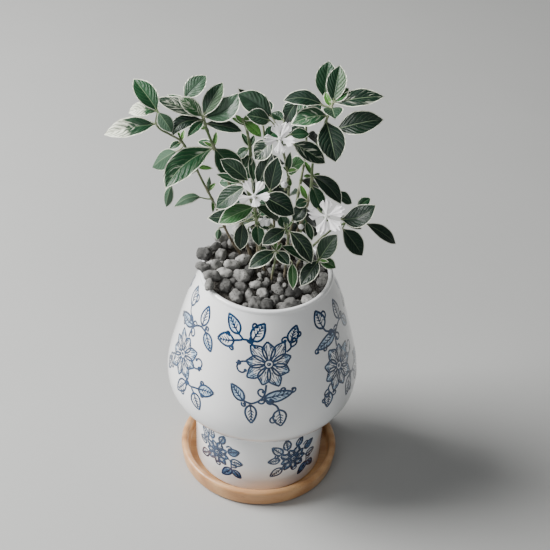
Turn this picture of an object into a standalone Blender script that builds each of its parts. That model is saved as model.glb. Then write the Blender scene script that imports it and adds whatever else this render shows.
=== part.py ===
"""A potted variegated serissa: a glazed egg-shaped pot on a bamboo saucer, filled with potting soil
under pumice gravel, with leafy woody stems that carry white five-petalled blooms. Metres, +Z up, origin
under the middle of the saucer. Leaves and stems are laid out as seen from one viewpoint: each point has
a place in a 550 x 550 picture and a depth, which the viewpoint turns into a point in space."""

from collections import namedtuple
from math import cos, pi, radians, sin, sqrt, tan
import random

import bmesh
import bpy
from mathutils import Matrix, Vector
from mathutils.bvhtree import BVHTree

MM = 0.001
GAP = 0.3 * MM
WELDS = (0.05 * MM, 0.02 * MM, 0.005 * MM, 0.0001 * MM)

# Driving dimensions of the holder
SAUCER_RADIUS = 39.2 * MM
SAUCER_HEIGHT = 9.6 * MM
SAUCER_FLOOR = 3.0 * MM
SAUCER_RIM_RADIUS = 35.7 * MM
FOOT_RADIUS = 32.0 * MM
FOOT_TOP = 41.9 * MM
BODY_RADIUS = 46.0 * MM
BODY_WIDEST = 57.5 * MM
MOUTH_RADIUS = 30.9 * MM
POT_TOP = 116.1 * MM
POT_WALL = 2.4 * MM
POT_FLOOR = 4.5 * MM
CAVITY_LIFT = 1.2 * MM
DRAIN_RADIUS = 5.0 * MM
SOIL_TOP = 107.5 * MM
GRAVEL_TOP = 113.0 * MM
GRAVEL_RADIUS = 28.2 * MM
GRAVEL_DROP = 3.6 * MM
GRAVEL_LIFT = 8.5 * MM
GRAVEL_HIGH_SIDE = radians(150)
GRAVEL_OVERHANG = 0.03
HEAP_OVER_RIM = 115.6 * MM
RIM_STONE = 3.7 * MM
STONE_SIZES = (2.7 * MM, 4.1 * MM)
STONE_LIFT = 0.5
STONE_SLENDER = 0.8
STONE_COUNT = 52
STONE_SWELL = 1.12
LEAST_STONE = 1.6 * MM
STEP_INWARD = 0.985
STEP_UP = 0.2 * MM
ROOT_DEPTH = 101.0 * MM
HOLE_TOP = 125.0 * MM
STEM_FEET_TOP = 131.0 * MM

# Viewpoint that the plant is laid out from
PICTURE_CENTRE = 275
FOCAL_PIXELS = 1400
EYE = Vector((0, -518.2 * MM, 505.2 * MM))
LOOK_DOWN = radians(37.08)
LOOK_ASIDE = radians(0.43)
LEAN = radians(3.01)
PIXEL_SIZE = 0.457 * MM

# Foliage
BLADE_THICKNESS = 0.6 * MM
BLADE_CLEARANCE = 0.95 * MM
BLADE_FOLD = radians(14)
BLADE_ARCH = 0.06
LARGE_STATIONS = ((0.0, 0.13), (0.28, 0.84), (0.66, 0.86), (1.0, 0.0))
SMALL_STATIONS = ((0.0, 0.16), (0.45, 1.0), (1.0, 0.0))
TINY_STATIONS = ((0.0, 0.5), (1.0, 0.0))
SMALL_BLADE = 9.5
TINY_BLADE = 5.5
VIEW_SHORTENING = 0.94
BACK_PER_PIXEL_UP = 0.3 * MM
DEPTH_SHIFTS = (0, 3, -3, 6, -6, 9, -9, 12, -12)
TURN_SHIFTS = (0, 25, -25)
PETIOLE_RADIUS = 0.5 * MM
PETIOLE_BITE = 1.2 * MM
TWIG_RADIUS = 0.6 * MM
TWIG_APPROACH = 2.2 * MM
STEM_SIDES = 1
SLENDER = 0.92
HOLE_CLEARANCE = 0.4 * MM

Leaf = namedtuple("Leaf", "tip wide at deep foot via turn", defaults=(None,) * 4 + (0,))
Stem = namedtuple("Stem", "name points thick thin leaves")
Bloom = namedtuple("Bloom", "name centre depth petals wide twig")
Bud = namedtuple("Bud", "name centre depth tip size twig")


def view_axes():
    """Right, up and forward of the viewpoint."""
    forward = Vector((sin(LOOK_ASIDE) * cos(LOOK_DOWN), cos(LOOK_ASIDE) * cos(LOOK_DOWN), -sin(LOOK_DOWN)))
    level = Vector((cos(LOOK_ASIDE), -sin(LOOK_ASIDE), 0))
    above = level.cross(forward)
    right = level * cos(LEAN) + above * sin(LEAN)
    up = above * cos(LEAN) - level * sin(LEAN)
    return right, up, forward


RIGHT, UP, FORWARD = view_axes()


def sight(pixel):
    """Direction from the eye through a point of the picture."""
    across = (pixel[0] - PICTURE_CENTRE) / FOCAL_PIXELS
    down = (pixel[1] - PICTURE_CENTRE) / FOCAL_PIXELS
    return FORWARD + RIGHT * across - UP * down


def spot(pixel, depth):
    """The point seen at this pixel that lies at this depth: y, in metres, positive behind the pot's middle."""
    ray = sight(pixel)
    return EYE + ray * ((depth - EYE.y) / ray.y)


def spot_on_plane(pixel, centre, normal):
    """The point seen at this pixel that lies on a plane."""
    ray = sight(pixel)
    return EYE + ray * ((centre - EYE).dot(normal) / ray.dot(normal))


# The stems, from the soil up: picture x, picture y and depth in millimetres. Each carries its leaves.
STEMS = [
    Stem("leafy_stem_left",
         [(241, 257, 13), (233, 243, 12), (226, 230, 11), (219, 214, 10), (212, 199, 9), (204, 184, 9),
          (197, 170, 8), (190, 156, 7), (182, 142, 5), (170, 134.5, 3), (160, 129, 1), (156, 122, -1),
          (158, 112, -2)], 0.95, 0.65,
         [Leaf((133, 77.5), 19),
          Leaf((128, 113), 15, via=(142, 109)),
          Leaf((172, 133), 14, deep=-6),
          Leaf((104, 135), 19.5, at=(156, 124)),
          Leaf((169, 149), 8, at=(182, 142)),
          Leaf((153, 168), 19, at=(184, 146), foot=(177, 151), deep=4),
          Leaf((177, 131), 4, at=(182, 142)),
          Leaf((184.5, 129), 5, at=(182, 142)),
          Leaf((213, 168.5), 5, at=(197, 167)),
          Leaf((166.5, 207), 10, at=(197, 170), foot=(172, 184), deep=5),
          Leaf((209, 176), 5, at=(208, 191)),
          Leaf((216, 182.5), 5, at=(208, 191)),
          Leaf((174, 207.5), 11, at=(212, 199), foot=(201, 197.5), via=(188, 198.5)),
          Leaf((213, 213), 4, at=(211, 200)),
          Leaf((217.5, 240), 7, at=(224, 227), foot=(219, 228))]),
    Stem("leafy_stem_upper_left",
         [(252, 262, 12), (244, 235, 12), (236, 205, 11), (225, 172, 10), (214, 148, 7), (207, 130, 5),
          (203, 117, 4)], 1.25, 0.9,
         [Leaf((155, 97.5), 16),
          Leaf((178, 97), 15, deep=2),
          Leaf((206.5, 74.5), 18, foot=(184, 99), deep=10),
          Leaf((223, 81), 16),
          Leaf((238, 92.5), 22, via=(225, 110), deep=6),
          Leaf((167, 93.5), 11, deep=9),
          Leaf((173, 136), 14, at=(203, 121), via=(182, 123), deep=-5),
          Leaf((243, 131), 13, at=(205, 124)),
          Leaf((187, 137), 9, at=(204, 122), deep=-9),
          Leaf((193.5, 125.5), 6, at=(207, 131), deep=5),
          Leaf((216.5, 131), 5, at=(213, 147)),
          Leaf((165, 188.5), 25, at=(212, 148), via=(184, 164.5), deep=-13),
          Leaf((241, 181), 25, at=(213, 149), deep=-5),
          Leaf((198, 141), 9, at=(213, 149), deep=8),
          Leaf((203, 141.5), 4, at=(212, 147))]),
    Stem("leafy_stem_centre",
         [(258, 264, 10), (257, 235, 12), (255, 205, 12), (252, 175, 11), (250, 148, 9), (246, 126, 7),
          (243, 119, 6)], 1.3, 0.9,
         [Leaf((235, 114.5), 5, at=(246, 124)),
          Leaf((231, 117.5), 5, at=(247, 128)),
          Leaf((262, 137), 11, at=(245, 121)),
          Leaf((251, 118), 6),
          Leaf((241, 132), 6, at=(250, 148)),
          Leaf((254.5, 134.5), 6, at=(250, 149)),
          Leaf((236, 158), 11, at=(250, 150)),
          Leaf((243, 168), 11, at=(251, 157)),
          Leaf((254, 183), 8, at=(251, 157)),
           Leaf((249, 172), 8, at=(253, 187), deep=-5)]),
    Stem("leafy_stem_middle",
         [(264, 267, 4), (260, 248, 1), (257, 224, -3), (255, 208, -6), (254, 198, -8)], 1.1, 0.8,
         [Leaf((214.5, 208.5), 19, foot=(246, 186), deep=-2),
          Leaf((220, 159.5), 17, foot=(248, 181), deep=5),
         Leaf((216, 174), 8, foot=(242, 184), deep=6),
          Leaf((272, 152), 16, foot=(258, 186), deep=12),
          Leaf((278, 156.5), 17, foot=(270, 191), deep=1),
          Leaf((295, 214.5), 23, foot=(262, 196), deep=-5),
          Leaf((217.5, 223), 18, at=(255, 207), deep=-6),
          Leaf((207, 218), 17, at=(256, 213), foot=(247, 220), deep=2),
          Leaf((281, 221), 13, at=(255, 207), deep=2),
          Leaf((259, 246), 13, at=(257, 224), deep=-8),
          Leaf((270, 229), 7, at=(257, 224)),
          Leaf((240, 250), 14, at=(256, 219), foot=(243, 222), deep=-4),
          Leaf((247, 243), 5, at=(257, 226), foot=(249, 227)),
          Leaf((267, 249), 6, at=(259, 248)),
          Leaf((251, 210), 3.5, at=(257, 222)),
          Leaf((261, 212), 3.5, at=(257, 223))]),
    Stem("leafy_stem_top",
         [(276, 264, 9), (280, 240, 9), (287, 205, 7), (289, 182, 4), (287, 168, 2), (283, 150, 1),
          (280, 130, 1)], 1.15, 0.8,
         [Leaf((237.5, 93), 23, foot=(272, 117), deep=8),
          Leaf((246, 115), 17, foot=(271, 121), deep=-4),
           Leaf((271, 112), 11, foot=(284, 121), deep=8),
          Leaf((310, 134), 12, at=(281, 138), foot=(289, 135)),
          Leaf((325.5, 163.5), 19, at=(283, 147), foot=(292, 143), deep=-5),
          Leaf((254, 160), 19, at=(281, 140), foot=(273, 140), deep=-5),
          Leaf((290.5, 151.5), 7, at=(287, 170), deep=-2),
          Leaf((305, 162), 19, at=(288, 172), deep=-5),
          Leaf((290.5, 187), 5, at=(288, 175), deep=-5),
          Leaf((279, 187), 6, at=(289, 190), deep=-6),
          Leaf((298, 170), 5, at=(288, 172), deep=-7),
          Leaf((283, 167), 5, at=(288, 173), deep=-6)]),
    Stem("leafy_stem_right",
         [(286, 263, 10), (292, 245, 10), (300, 225, 8), (307, 205, 5), (311, 188, 3), (312, 176, 2),
          (313, 162, 2), (318, 142, 2), (326, 121, 3), (333, 103, 4)], 1.15, 0.7,
         [Leaf((329, 60), 20, foot=(324, 98)),
          Leaf((340, 64.5), 18),
          Leaf((349, 88), 11, at=(333, 104)),
          Leaf((325, 91.5), 7, at=(332, 106), deep=-3),
          Leaf((384.5, 96.5), 18, at=(333, 105)),
          Leaf((283, 101), 16, at=(331, 107), foot=(323, 105), via=(303, 98)),
          Leaf((335, 119), 18, at=(332, 106), deep=-14),
          Leaf((284, 124), 16, at=(331, 108), foot=(299, 99), deep=2),
          Leaf((291, 125), 19, at=(327, 118), via=(310, 117)),
          Leaf((384, 119.5), 24, at=(326, 121), foot=(336, 129.5), deep=0),
          Leaf((336.5, 162.5), 25, at=(326, 122), deep=-13),
          Leaf((304, 160), 5, at=(312, 175)),
          Leaf((342, 204.5), 16, at=(312, 176), via=(329, 187), deep=-6),
          Leaf((322, 212), 15, at=(311, 184), deep=-5),
          Leaf((352, 203.5), 12, at=(311, 181), foot=(335, 193), deep=3),
          Leaf((303, 176), 4, at=(312, 176)),
          Leaf((320, 173), 5, at=(312, 178)),
          Leaf((300, 184), 6, at=(308, 200)),
          Leaf((295, 206), 11, at=(308, 201)),
          Leaf((293, 221), 15, at=(307, 205), deep=-3),
          Leaf((312, 241), 8, at=(303, 217), foot=(306, 221), deep=-8)]),
    Stem("leafy_stem_low_right",
         [(298, 264, 7), (312, 247, 7), (330, 231, 3), (347, 222, -1)], 1.0, 0.7,
         [Leaf((374.5, 204.5), 22, foot=(341, 219), via=(359.5, 216.5), deep=-2),
          Leaf((370.5, 198), 10, foot=(357, 208), deep=8),
          Leaf((396.5, 244), 14, foot=(366, 223.5), deep=4),
          Leaf((363, 256), 19, at=(346, 223), foot=(342.5, 228.5), deep=-6),
          Leaf((362, 229), 7, at=(346, 223), deep=-2),
          Leaf((340, 215), 6, deep=4)]),
    Stem("leafy_stem_front_right",
         [(302, 273, 1), (311, 268, -2), (319, 260, -6)], 0.9, 0.75,
         [Leaf((337, 234), 19, at=(319, 259), deep=4),
          Leaf((336, 268), 12),
          Leaf((321, 240), 9, at=(317, 261), deep=6),
          Leaf((300.5, 286), 16, deep=-10),
          Leaf((280.5, 246), 12, at=(316, 263), deep=-3),
          Leaf((329, 262), 4, deep=-4)]),
    Stem("leafy_stem_front_middle",
         [(285, 271, 1), (288, 252, -2), (288, 238, -5), (286, 229, -7)], 0.9, 0.7,
         [Leaf((262, 245), 15, deep=-6),
          Leaf((281, 215), 12),
          Leaf((312.5, 264), 17, foot=(289, 231), via=(302.5, 245.5), deep=-11),
          Leaf((293, 290), 10, at=(287, 256), foot=(292, 262), deep=-14),
          Leaf((293, 221), 5),
          Leaf((285, 220), 4)]),
    Stem("leafy_shoot_front",
         [(272, 276, -2), (275, 262, -4), (276, 251, -7)], 0.9, 0.65,
         [Leaf((248, 268), 15, deep=-7),
          Leaf((289.5, 265.5), 12, deep=-7),
          Leaf((276, 240), 4),
          Leaf((282, 243), 4),
          Leaf((271, 245), 4)]),
    Stem("leafy_stem_back_left",
         [(261, 250, 20), (257, 222, 26), (247, 190, 30), (236, 166, 31)], 1.0, 0.7,
         [Leaf((222, 156), 17, deep=6),
          Leaf((246, 152), 17, deep=12),
          Leaf((218, 182), 17, at=(243, 182), deep=3),
          Leaf((254, 166), 16, at=(243, 182), deep=14),
          Leaf((230, 200), 17, at=(249, 197), deep=2),
          Leaf((270, 186), 17, at=(249, 197), deep=14),
          Leaf((238, 222), 16, at=(256, 218), deep=5),
          Leaf((274, 212), 16, at=(256, 218), deep=12)]),
    Stem("leafy_stem_back_middle",
         [(273, 250, 20), (274, 215, 26), (270, 180, 27), (266, 148, 26), (262, 118, 24)], 1.15, 0.75,
         [Leaf((238, 88), 13, deep=0),
          Leaf((266, 99), 17, deep=14),
          Leaf((259, 146), 15, at=(265, 140), deep=12),
          Leaf((281, 127), 16, at=(265, 140), deep=9),
          Leaf((259, 176), 16, at=(268, 164), deep=10),
          Leaf((283, 160), 16, at=(268, 164), deep=12),
          Leaf((288, 186), 16, at=(272, 196), deep=13),
          Leaf((260, 216), 16, at=(272, 196), deep=8)]),
    Stem("leafy_stem_back_right",
         [(286, 250, 20), (294, 215, 25), (301, 180, 25), (306, 150, 23), (306, 120, 21)], 1.15, 0.75,
         [Leaf((291, 101), 17, deep=10),
          Leaf((318, 100), 17, deep=12),
          Leaf((288, 128), 15, at=(306, 136), deep=10),
          Leaf((322, 146), 16, at=(306, 136), deep=8),
          Leaf((322, 196), 16, at=(301, 182), deep=10),
          Leaf((286, 200), 16, at=(299, 192), deep=12),
          Leaf((318, 226), 16, at=(295, 212), deep=8),
          Leaf((280, 226), 16, at=(295, 212), deep=12)]),
    Stem("leafy_shoot_back",
         [(292, 250, 20), (296, 240, 22), (300, 230, 29)], 0.9, 0.7,
         [Leaf((282, 230), 16, deep=8),
          Leaf((306, 214), 15, deep=14),
          Leaf((318, 232), 16, deep=5),
          Leaf((291, 240), 14, deep=8)]),
]

# The blooms: centre and petal tips in the picture, depth in millimetres, a petal's width in the picture,
# and the stem that carries each
BLOOMS = [
    Bloom("bloom_top", (280, 138.5), -5, [(275, 123.5), (289.5, 122.5), (295, 143), (280, 155), (263, 141)],
          11.5, "leafy_stem_top"),
    Bloom("bloom_middle", (254, 196), -14, [(245, 181.5), (262.5, 182), (270, 197), (256.5, 207.5), (238, 200.5)],
          9, "leafy_stem_middle"),
    Bloom("bloom_right", (326.5, 216), -14, [(326, 199), (345, 209), (340, 231), (320, 235.5), (307.5, 213)],
          12.5, "leafy_stem_right"),
]
PETAL_STATIONS = ((0.1, 0.22), (0.7, 1.0))
PETAL_TWIST = radians(14)
PETAL_TEETH = ((-0.62, 0.93), (-0.3, 0.84), (0.0, 1.0), (0.3, 0.84), (0.62, 0.93))
PETAL_THICKNESS = 0.6 * MM
PETAL_CUP = 0.12
TUBE_LENGTH = 6.0 * MM
TUBE_RADII = (0.9 * MM, 2.0 * MM)

BUDS = [
    Bud("bud_left", (270, 225), -8, (265, 221), 2.6, "leafy_stem_middle"),
    Bud("bud_middle", (285, 188), -3, (284, 182), 1.9, "leafy_stem_top"),
    Bud("bud_right", (301, 230), -3, (301, 224), 1.6, "leafy_stem_right"),
]


def clear_scene():
    for obj in list(bpy.data.objects):
        bpy.data.objects.remove(obj, do_unlink=True)


def new_collection(name, hidden=False):
    group = bpy.data.collections.new(name)
    bpy.context.scene.collection.children.link(group)
    group.hide_render = hidden
    return group


def material(name, colour, roughness):
    made = bpy.data.materials.new(name)
    made.use_nodes = True
    shader = made.node_tree.nodes["Principled BSDF"]
    shader.inputs["Base Color"].default_value = (*colour, 1)
    shader.inputs["Roughness"].default_value = roughness
    made.diffuse_color = (*colour, 1)
    return made


def new_object(name, mesh, group, finish=None):
    obj = bpy.data.objects.new(name, mesh)
    group.objects.link(obj)
    if finish:
        mesh.materials.clear()
        mesh.materials.append(finish)
    return obj


def apply_modifiers(obj):
    """Keeps the evaluated shape as the object's own mesh."""
    graph = bpy.context.evaluated_depsgraph_get()
    shaped = bpy.data.meshes.new_from_object(obj.evaluated_get(graph))
    obj.modifiers.clear()
    obj.data = shaped


def smooth(obj, angle=35):
    obj.data.shade_smooth()
    obj.data.set_sharp_from_angle(angle=radians(angle))


def turned(name, profile, group, finish, steps=28):
    """A turned solid: the profile runs down the outside and back up inside, or on to the axis."""
    mesh = bpy.data.meshes.new(name)
    mesh.from_pydata([(r, 0, z) for r, z in profile], [(i, i + 1) for i in range(len(profile) - 1)], [])
    obj = new_object(name, mesh, group, finish)
    screw = obj.modifiers.new("turn", "SCREW")
    screw.steps = screw.render_steps = steps
    screw.use_merge_vertices = True
    screw.merge_threshold = 0.0001 * MM
    apply_modifiers(obj)
    smooth(obj)
    return obj


def arc(centre, radius, start, end, count):
    """Points of a round stretch of a profile, angles in degrees from +r towards +z."""
    turns = [radians(start + (end - start) * i / (count - 1)) for i in range(count)]
    return [(centre[0] + radius * cos(a), centre[1] + radius * sin(a)) for a in turns]


def curved(points, count):
    """A smooth run through points of any dimension: a Catmull-Rom curve with this many points a span."""
    first = points[0] * 2 - points[1]
    last = points[-1] * 2 - points[-2]
    run = [first, *points, last]
    made = []
    for i in range(1, len(run) - 2):
        a, b, c, d = run[i - 1:i + 3]
        for k in range(count):
            t = k / count
            made.append(0.5 * (b * 2 + (c - a) * t + (a * 2 - b * 5 + c * 4 - d) * t ** 2
                               + (b * 3 - a - c * 3 + d) * t ** 3))
    made.append(points[-1].copy())
    return made


def body_outline(inset=0.0, count=2):
    """The egg-shaped outside from the mouth down to the foot, or a wall's thickness inside it."""
    shape = [(MOUTH_RADIUS, POT_TOP - 2.0 * MM), (36.6 * MM, 100.0 * MM), (42.1 * MM, 80.0 * MM),
             (45.4 * MM, 66.0 * MM), (BODY_RADIUS, BODY_WIDEST), (44.4 * MM, 50.5 * MM),
             (40.0 * MM, 44.6 * MM), (34.6 * MM, 42.2 * MM)]
    return [(p.x - inset, p.y) for p in curved([Vector(q) for q in shape], count)]


def make_saucer(group, finish):
    round_off = 2.2 * MM
    lip = (SAUCER_RADIUS - SAUCER_RIM_RADIUS) / 2
    lip_centre = (SAUCER_RIM_RADIUS + lip, SAUCER_HEIGHT - lip)
    inner_floor = SAUCER_RIM_RADIUS - 1.6 * MM
    profile = [(0, SAUCER_FLOOR), (inner_floor, SAUCER_FLOOR), (SAUCER_RIM_RADIUS, SAUCER_FLOOR + 1.6 * MM)]
    profile += arc(lip_centre, lip, 180, 0, 6)
    profile += arc((SAUCER_RADIUS - 0.8 * MM - round_off, round_off), round_off, 0, -90, 4)
    profile += [(0, 0)]
    return turned("saucer", profile, group, finish)


def make_pot(group, finish):
    foot_bottom = SAUCER_FLOOR + GAP
    lip = POT_WALL / 2
    outside = body_outline()
    fillet = arc((FOOT_RADIUS + 1.6 * MM, FOOT_TOP - 1.2 * MM), 1.6 * MM, 110, 180, 3)
    foot = [(FOOT_RADIUS, 30 * MM), (FOOT_RADIUS - 0.6 * MM, foot_bottom + 1.0 * MM),
            (FOOT_RADIUS - 1.6 * MM, foot_bottom)]
    cavity_floor = foot_bottom + POT_FLOOR
    neck = FOOT_RADIUS - POT_WALL
    cavity = [(neck - 3.0 * MM, cavity_floor), (neck, cavity_floor + 3.0 * MM), (neck, FOOT_TOP + 1.0 * MM)]
    inside = list(reversed(inner_wall()))
    mouth = arc((MOUTH_RADIUS - lip, POT_TOP - lip), lip, 180, 0, 6)
    drain = [(DRAIN_RADIUS, foot_bottom), (DRAIN_RADIUS, cavity_floor)]
    profile = outside + fillet + foot + drain + cavity + inside[:-1] + mouth[:-1] + [outside[0]]
    return turned("pot", profile, group, finish)


def inner_wall():
    """The cavity's wall from the inner edge of the lip down to the neck above the foot."""
    lip = POT_WALL / 2
    wall = [(r, z + CAVITY_LIFT) for r, z in body_outline(POT_WALL, 1)[:-1]]
    return [(MOUTH_RADIUS - POT_WALL, POT_TOP - lip)] + [point for point in wall if point[1] < POT_TOP - lip]


def inner_wall_radius(height):
    """Radius of the pot's cavity at a height."""
    wall = inner_wall()
    for (upper_r, upper_z), (lower_r, lower_z) in zip(wall, wall[1:]):
        if lower_z <= height <= upper_z:
            share = (height - lower_z) / (upper_z - lower_z)
            return lower_r + (upper_r - lower_r) * share
    return MOUTH_RADIUS - POT_WALL if height > POT_TOP / 2 else FOOT_RADIUS - POT_WALL


def make_soil(group, finish):
    bottom = SAUCER_FLOOR + GAP + POT_FLOOR + GAP
    heights = [SOIL_TOP, 96 * MM, 82 * MM, 68 * MM, 58 * MM, 50 * MM, 46 * MM]
    wall = [(inner_wall_radius(z) - 0.6 * MM, z) for z in heights]
    neck = FOOT_RADIUS - POT_WALL - GAP
    below = [(neck, FOOT_TOP + 1.0 * MM), (neck, bottom + 3.2 * MM), (neck - 3.2 * MM, bottom)]
    profile = [(0, SOIL_TOP)] + wall + below + [(0, bottom)]
    return turned("potting_soil", profile, group, finish, steps=20)


def mound(x, y):
    """Height of the gravel's bed: higher at the left and back."""
    along = (x * cos(GRAVEL_HIGH_SIDE) + y * sin(GRAVEL_HIGH_SIDE)) / GRAVEL_RADIUS
    return GRAVEL_TOP - GRAVEL_DROP + GRAVEL_LIFT * (1 + along) / 2


def stone(centre, radius, rng, helpers):
    """One angular pumice stone, longer than it is thick."""
    bm = bmesh.new()
    bmesh.ops.create_icosphere(bm, subdivisions=1, radius=radius)
    for vert in bm.verts:
        vert.co *= rng.uniform(0.9, STONE_SWELL)
        vert.co.y *= STONE_SLENDER
        vert.co.z *= STONE_SLENDER
    turn = Matrix.Rotation(rng.uniform(0, 2 * pi), 4, "Z") @ Matrix.Rotation(rng.uniform(-0.5, 0.5), 4, "Y")
    bmesh.ops.transform(bm, matrix=Matrix.Translation(centre) @ turn, verts=bm.verts)
    mesh = bpy.data.meshes.new("stone")
    bm.to_mesh(mesh)
    bm.free()
    return new_object("stone", mesh, helpers)


def clear_of_pot(place, reach):
    """Whether a ball of this radius clears the pot's lip and the cavity's wall."""
    lip = POT_WALL / 2
    out = sqrt(place.x ** 2 + place.y ** 2)
    from_lip = sqrt((out - MOUTH_RADIUS + lip) ** 2 + (place.z - POT_TOP + lip) ** 2)
    if place.z > POT_TOP:
        return from_lip > lip + reach + GAP
    return from_lip > lip + reach + GAP and out < inner_wall_radius(place.z) - reach - GAP


def stone_places(stem_axes):
    """Centres and radii of the stones: a sunflower spread with a seeded jitter, clear of stems and pot.
    Where the heap is higher than the rim, stones lie over it, and elsewhere they stay within it."""
    rng = random.Random(11)
    places = []
    for i in range(STONE_COUNT):
        angle = i * radians(137.5)
        overhang = 1 + GRAVEL_OVERHANG * max(0.0, cos(angle - GRAVEL_HIGH_SIDE))
        reach = GRAVEL_RADIUS * overhang * sqrt((i + 0.5) / STONE_COUNT)
        radius = rng.uniform(*STONE_SIZES)
        x = reach * cos(angle) + rng.uniform(-0.7, 0.7) * MM
        y = reach * sin(angle) + rng.uniform(-0.7, 0.7) * MM
        room = min(sqrt((x - point.x) ** 2 + (y - point.y) ** 2) - thick for point, thick in stem_axes)
        if mound(x, y) > HEAP_OVER_RIM:
            radius = max(radius, RIM_STONE)
        radius = min(radius, (room - HOLE_CLEARANCE) / STONE_SWELL)
        if radius < LEAST_STONE:
            continue
        centre = Vector((x, y, mound(x, y) + STONE_LIFT * radius))
        while not clear_of_pot(centre, radius * STONE_SWELL):
            if mound(x, y) > HEAP_OVER_RIM:
                centre.z += STEP_UP
            else:
                centre.x *= STEP_INWARD
                centre.y *= STEP_INWARD
        places.append((centre, radius))
    return places


def make_gravel(group, finish, stem_axes, helpers):
    bottom = SOIL_TOP + GAP
    side = [(inner_wall_radius(z) - 0.5 * MM, z) for z in (109 * MM, bottom)]
    edge = inner_wall_radius(POT_TOP - POT_WALL) - 1.7 * MM
    top = [(0, POT_TOP), (0.35 * edge, POT_TOP), (0.7 * edge, POT_TOP), (edge, POT_TOP)]
    profile = top + side + [(0, bottom)]
    bed = turned("pumice_gravel", profile, group, finish, steps=20)
    for vert in bed.data.vertices:
        if vert.co.z > POT_TOP - 0.1 * MM:
            vert.co.z = mound(vert.co.x, vert.co.y)
    rng = random.Random(5)
    for centre, radius in stone_places(stem_axes):
        stone(centre, radius, rng, helpers)
    fuse(bed, helpers)
    return bed


def fuse(obj, helpers, solver="EXACT"):
    """One Boolean union of the object with all that the helper collection holds, which is then emptied."""
    union = obj.modifiers.new("fuse", "BOOLEAN")
    union.operation = "UNION"
    union.operand_type = "COLLECTION"
    union.collection = helpers
    union.solver = solver
    apply_modifiers(obj)
    for helper in list(helpers.objects):
        bpy.data.objects.remove(helper, do_unlink=True)
    for distance in WELDS:
        bm = bmesh.new()
        bm.from_mesh(obj.data)
        bmesh.ops.remove_doubles(bm, verts=bm.verts, dist=distance)
        drop_slivers(bm)
        bmesh.ops.triangulate(bm, faces=bm.faces)
        whole = all(item.is_manifold for item in [*bm.edges, *bm.verts])
        if whole or distance == WELDS[-1]:
            bm.to_mesh(obj.data)
        bm.free()
        if whole:
            return


def drop_slivers(bm):
    """Removes the loose specks that a union can leave: all but the largest piece of the mesh."""
    unseen = set(bm.verts)
    pieces = []
    while unseen:
        piece, front = set(), [unseen.pop()]
        while front:
            vert = front.pop()
            piece.add(vert)
            for edge in vert.link_edges:
                other = edge.other_vert(vert)
                if other in unseen:
                    unseen.discard(other)
                    front.append(other)
        pieces.append(piece)
    pieces.sort(key=len)
    for piece in pieces[:-1]:
        bmesh.ops.delete(bm, geom=list(piece), context="VERTS")


def tube(name, path, radii, group, sides=STEM_SIDES):
    """A closed tube mesh along a path, with a radius at each point."""
    curve = bpy.data.curves.new(name, "CURVE")
    curve.dimensions = "3D"
    curve.bevel_depth = 1.0
    curve.bevel_resolution = sides
    curve.use_fill_caps = True
    line = curve.splines.new("POLY")
    line.points.add(len(path) - 1)
    for point, place, radius in zip(line.points, path, radii):
        point.co = (*place, 1)
        point.radius = radius
    guide = bpy.data.objects.new(name, curve)
    group.objects.link(guide)
    graph = bpy.context.evaluated_depsgraph_get()
    mesh = bpy.data.meshes.new_from_object(guide.evaluated_get(graph))
    bpy.data.objects.remove(guide, do_unlink=True)
    bm = bmesh.new()
    bm.from_mesh(mesh)
    bmesh.ops.remove_doubles(bm, verts=bm.verts, dist=0.0001 * MM)
    bmesh.ops.triangulate(bm, faces=bm.faces)
    bm.to_mesh(mesh)
    bm.free()
    return new_object(name, mesh, group)


def stem_path(stem):
    """The stem's axis, from its root in the soil to its tip, and its radius at each point."""
    seen = [spot(point[:2], point[2] * MM) for point in stem.points]
    root = Vector((seen[0].x, seen[0].y, ROOT_DEPTH))
    path = curved([root, *seen], 1 if len(seen) > 5 else 2)
    count = len(path) - 1
    radii = [(stem.thick + (stem.thin - stem.thick) * i / count) * MM for i in range(count + 1)]
    return path, radii


def nearest_on(path, pixel):
    """The point of a stem's axis that is seen nearest to a pixel."""
    ray = sight(pixel).normalized()
    best, chosen = None, None
    for start, end in zip(path, path[1:]):
        for k in range(5):
            point = start.lerp(end, k / 4)
            off = point - EYE
            miss = (off - ray * off.dot(ray)).length
            if best is None or miss < best:
                best, chosen = miss, point
    return chosen


def blade_stations(leaf):
    """Places along a blade, each with its share of the blade's width: fewer on a small blade."""
    if leaf.wide < TINY_BLADE:
        return TINY_STATIONS
    return SMALL_STATIONS if leaf.wide < SMALL_BLADE else LARGE_STATIONS


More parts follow.
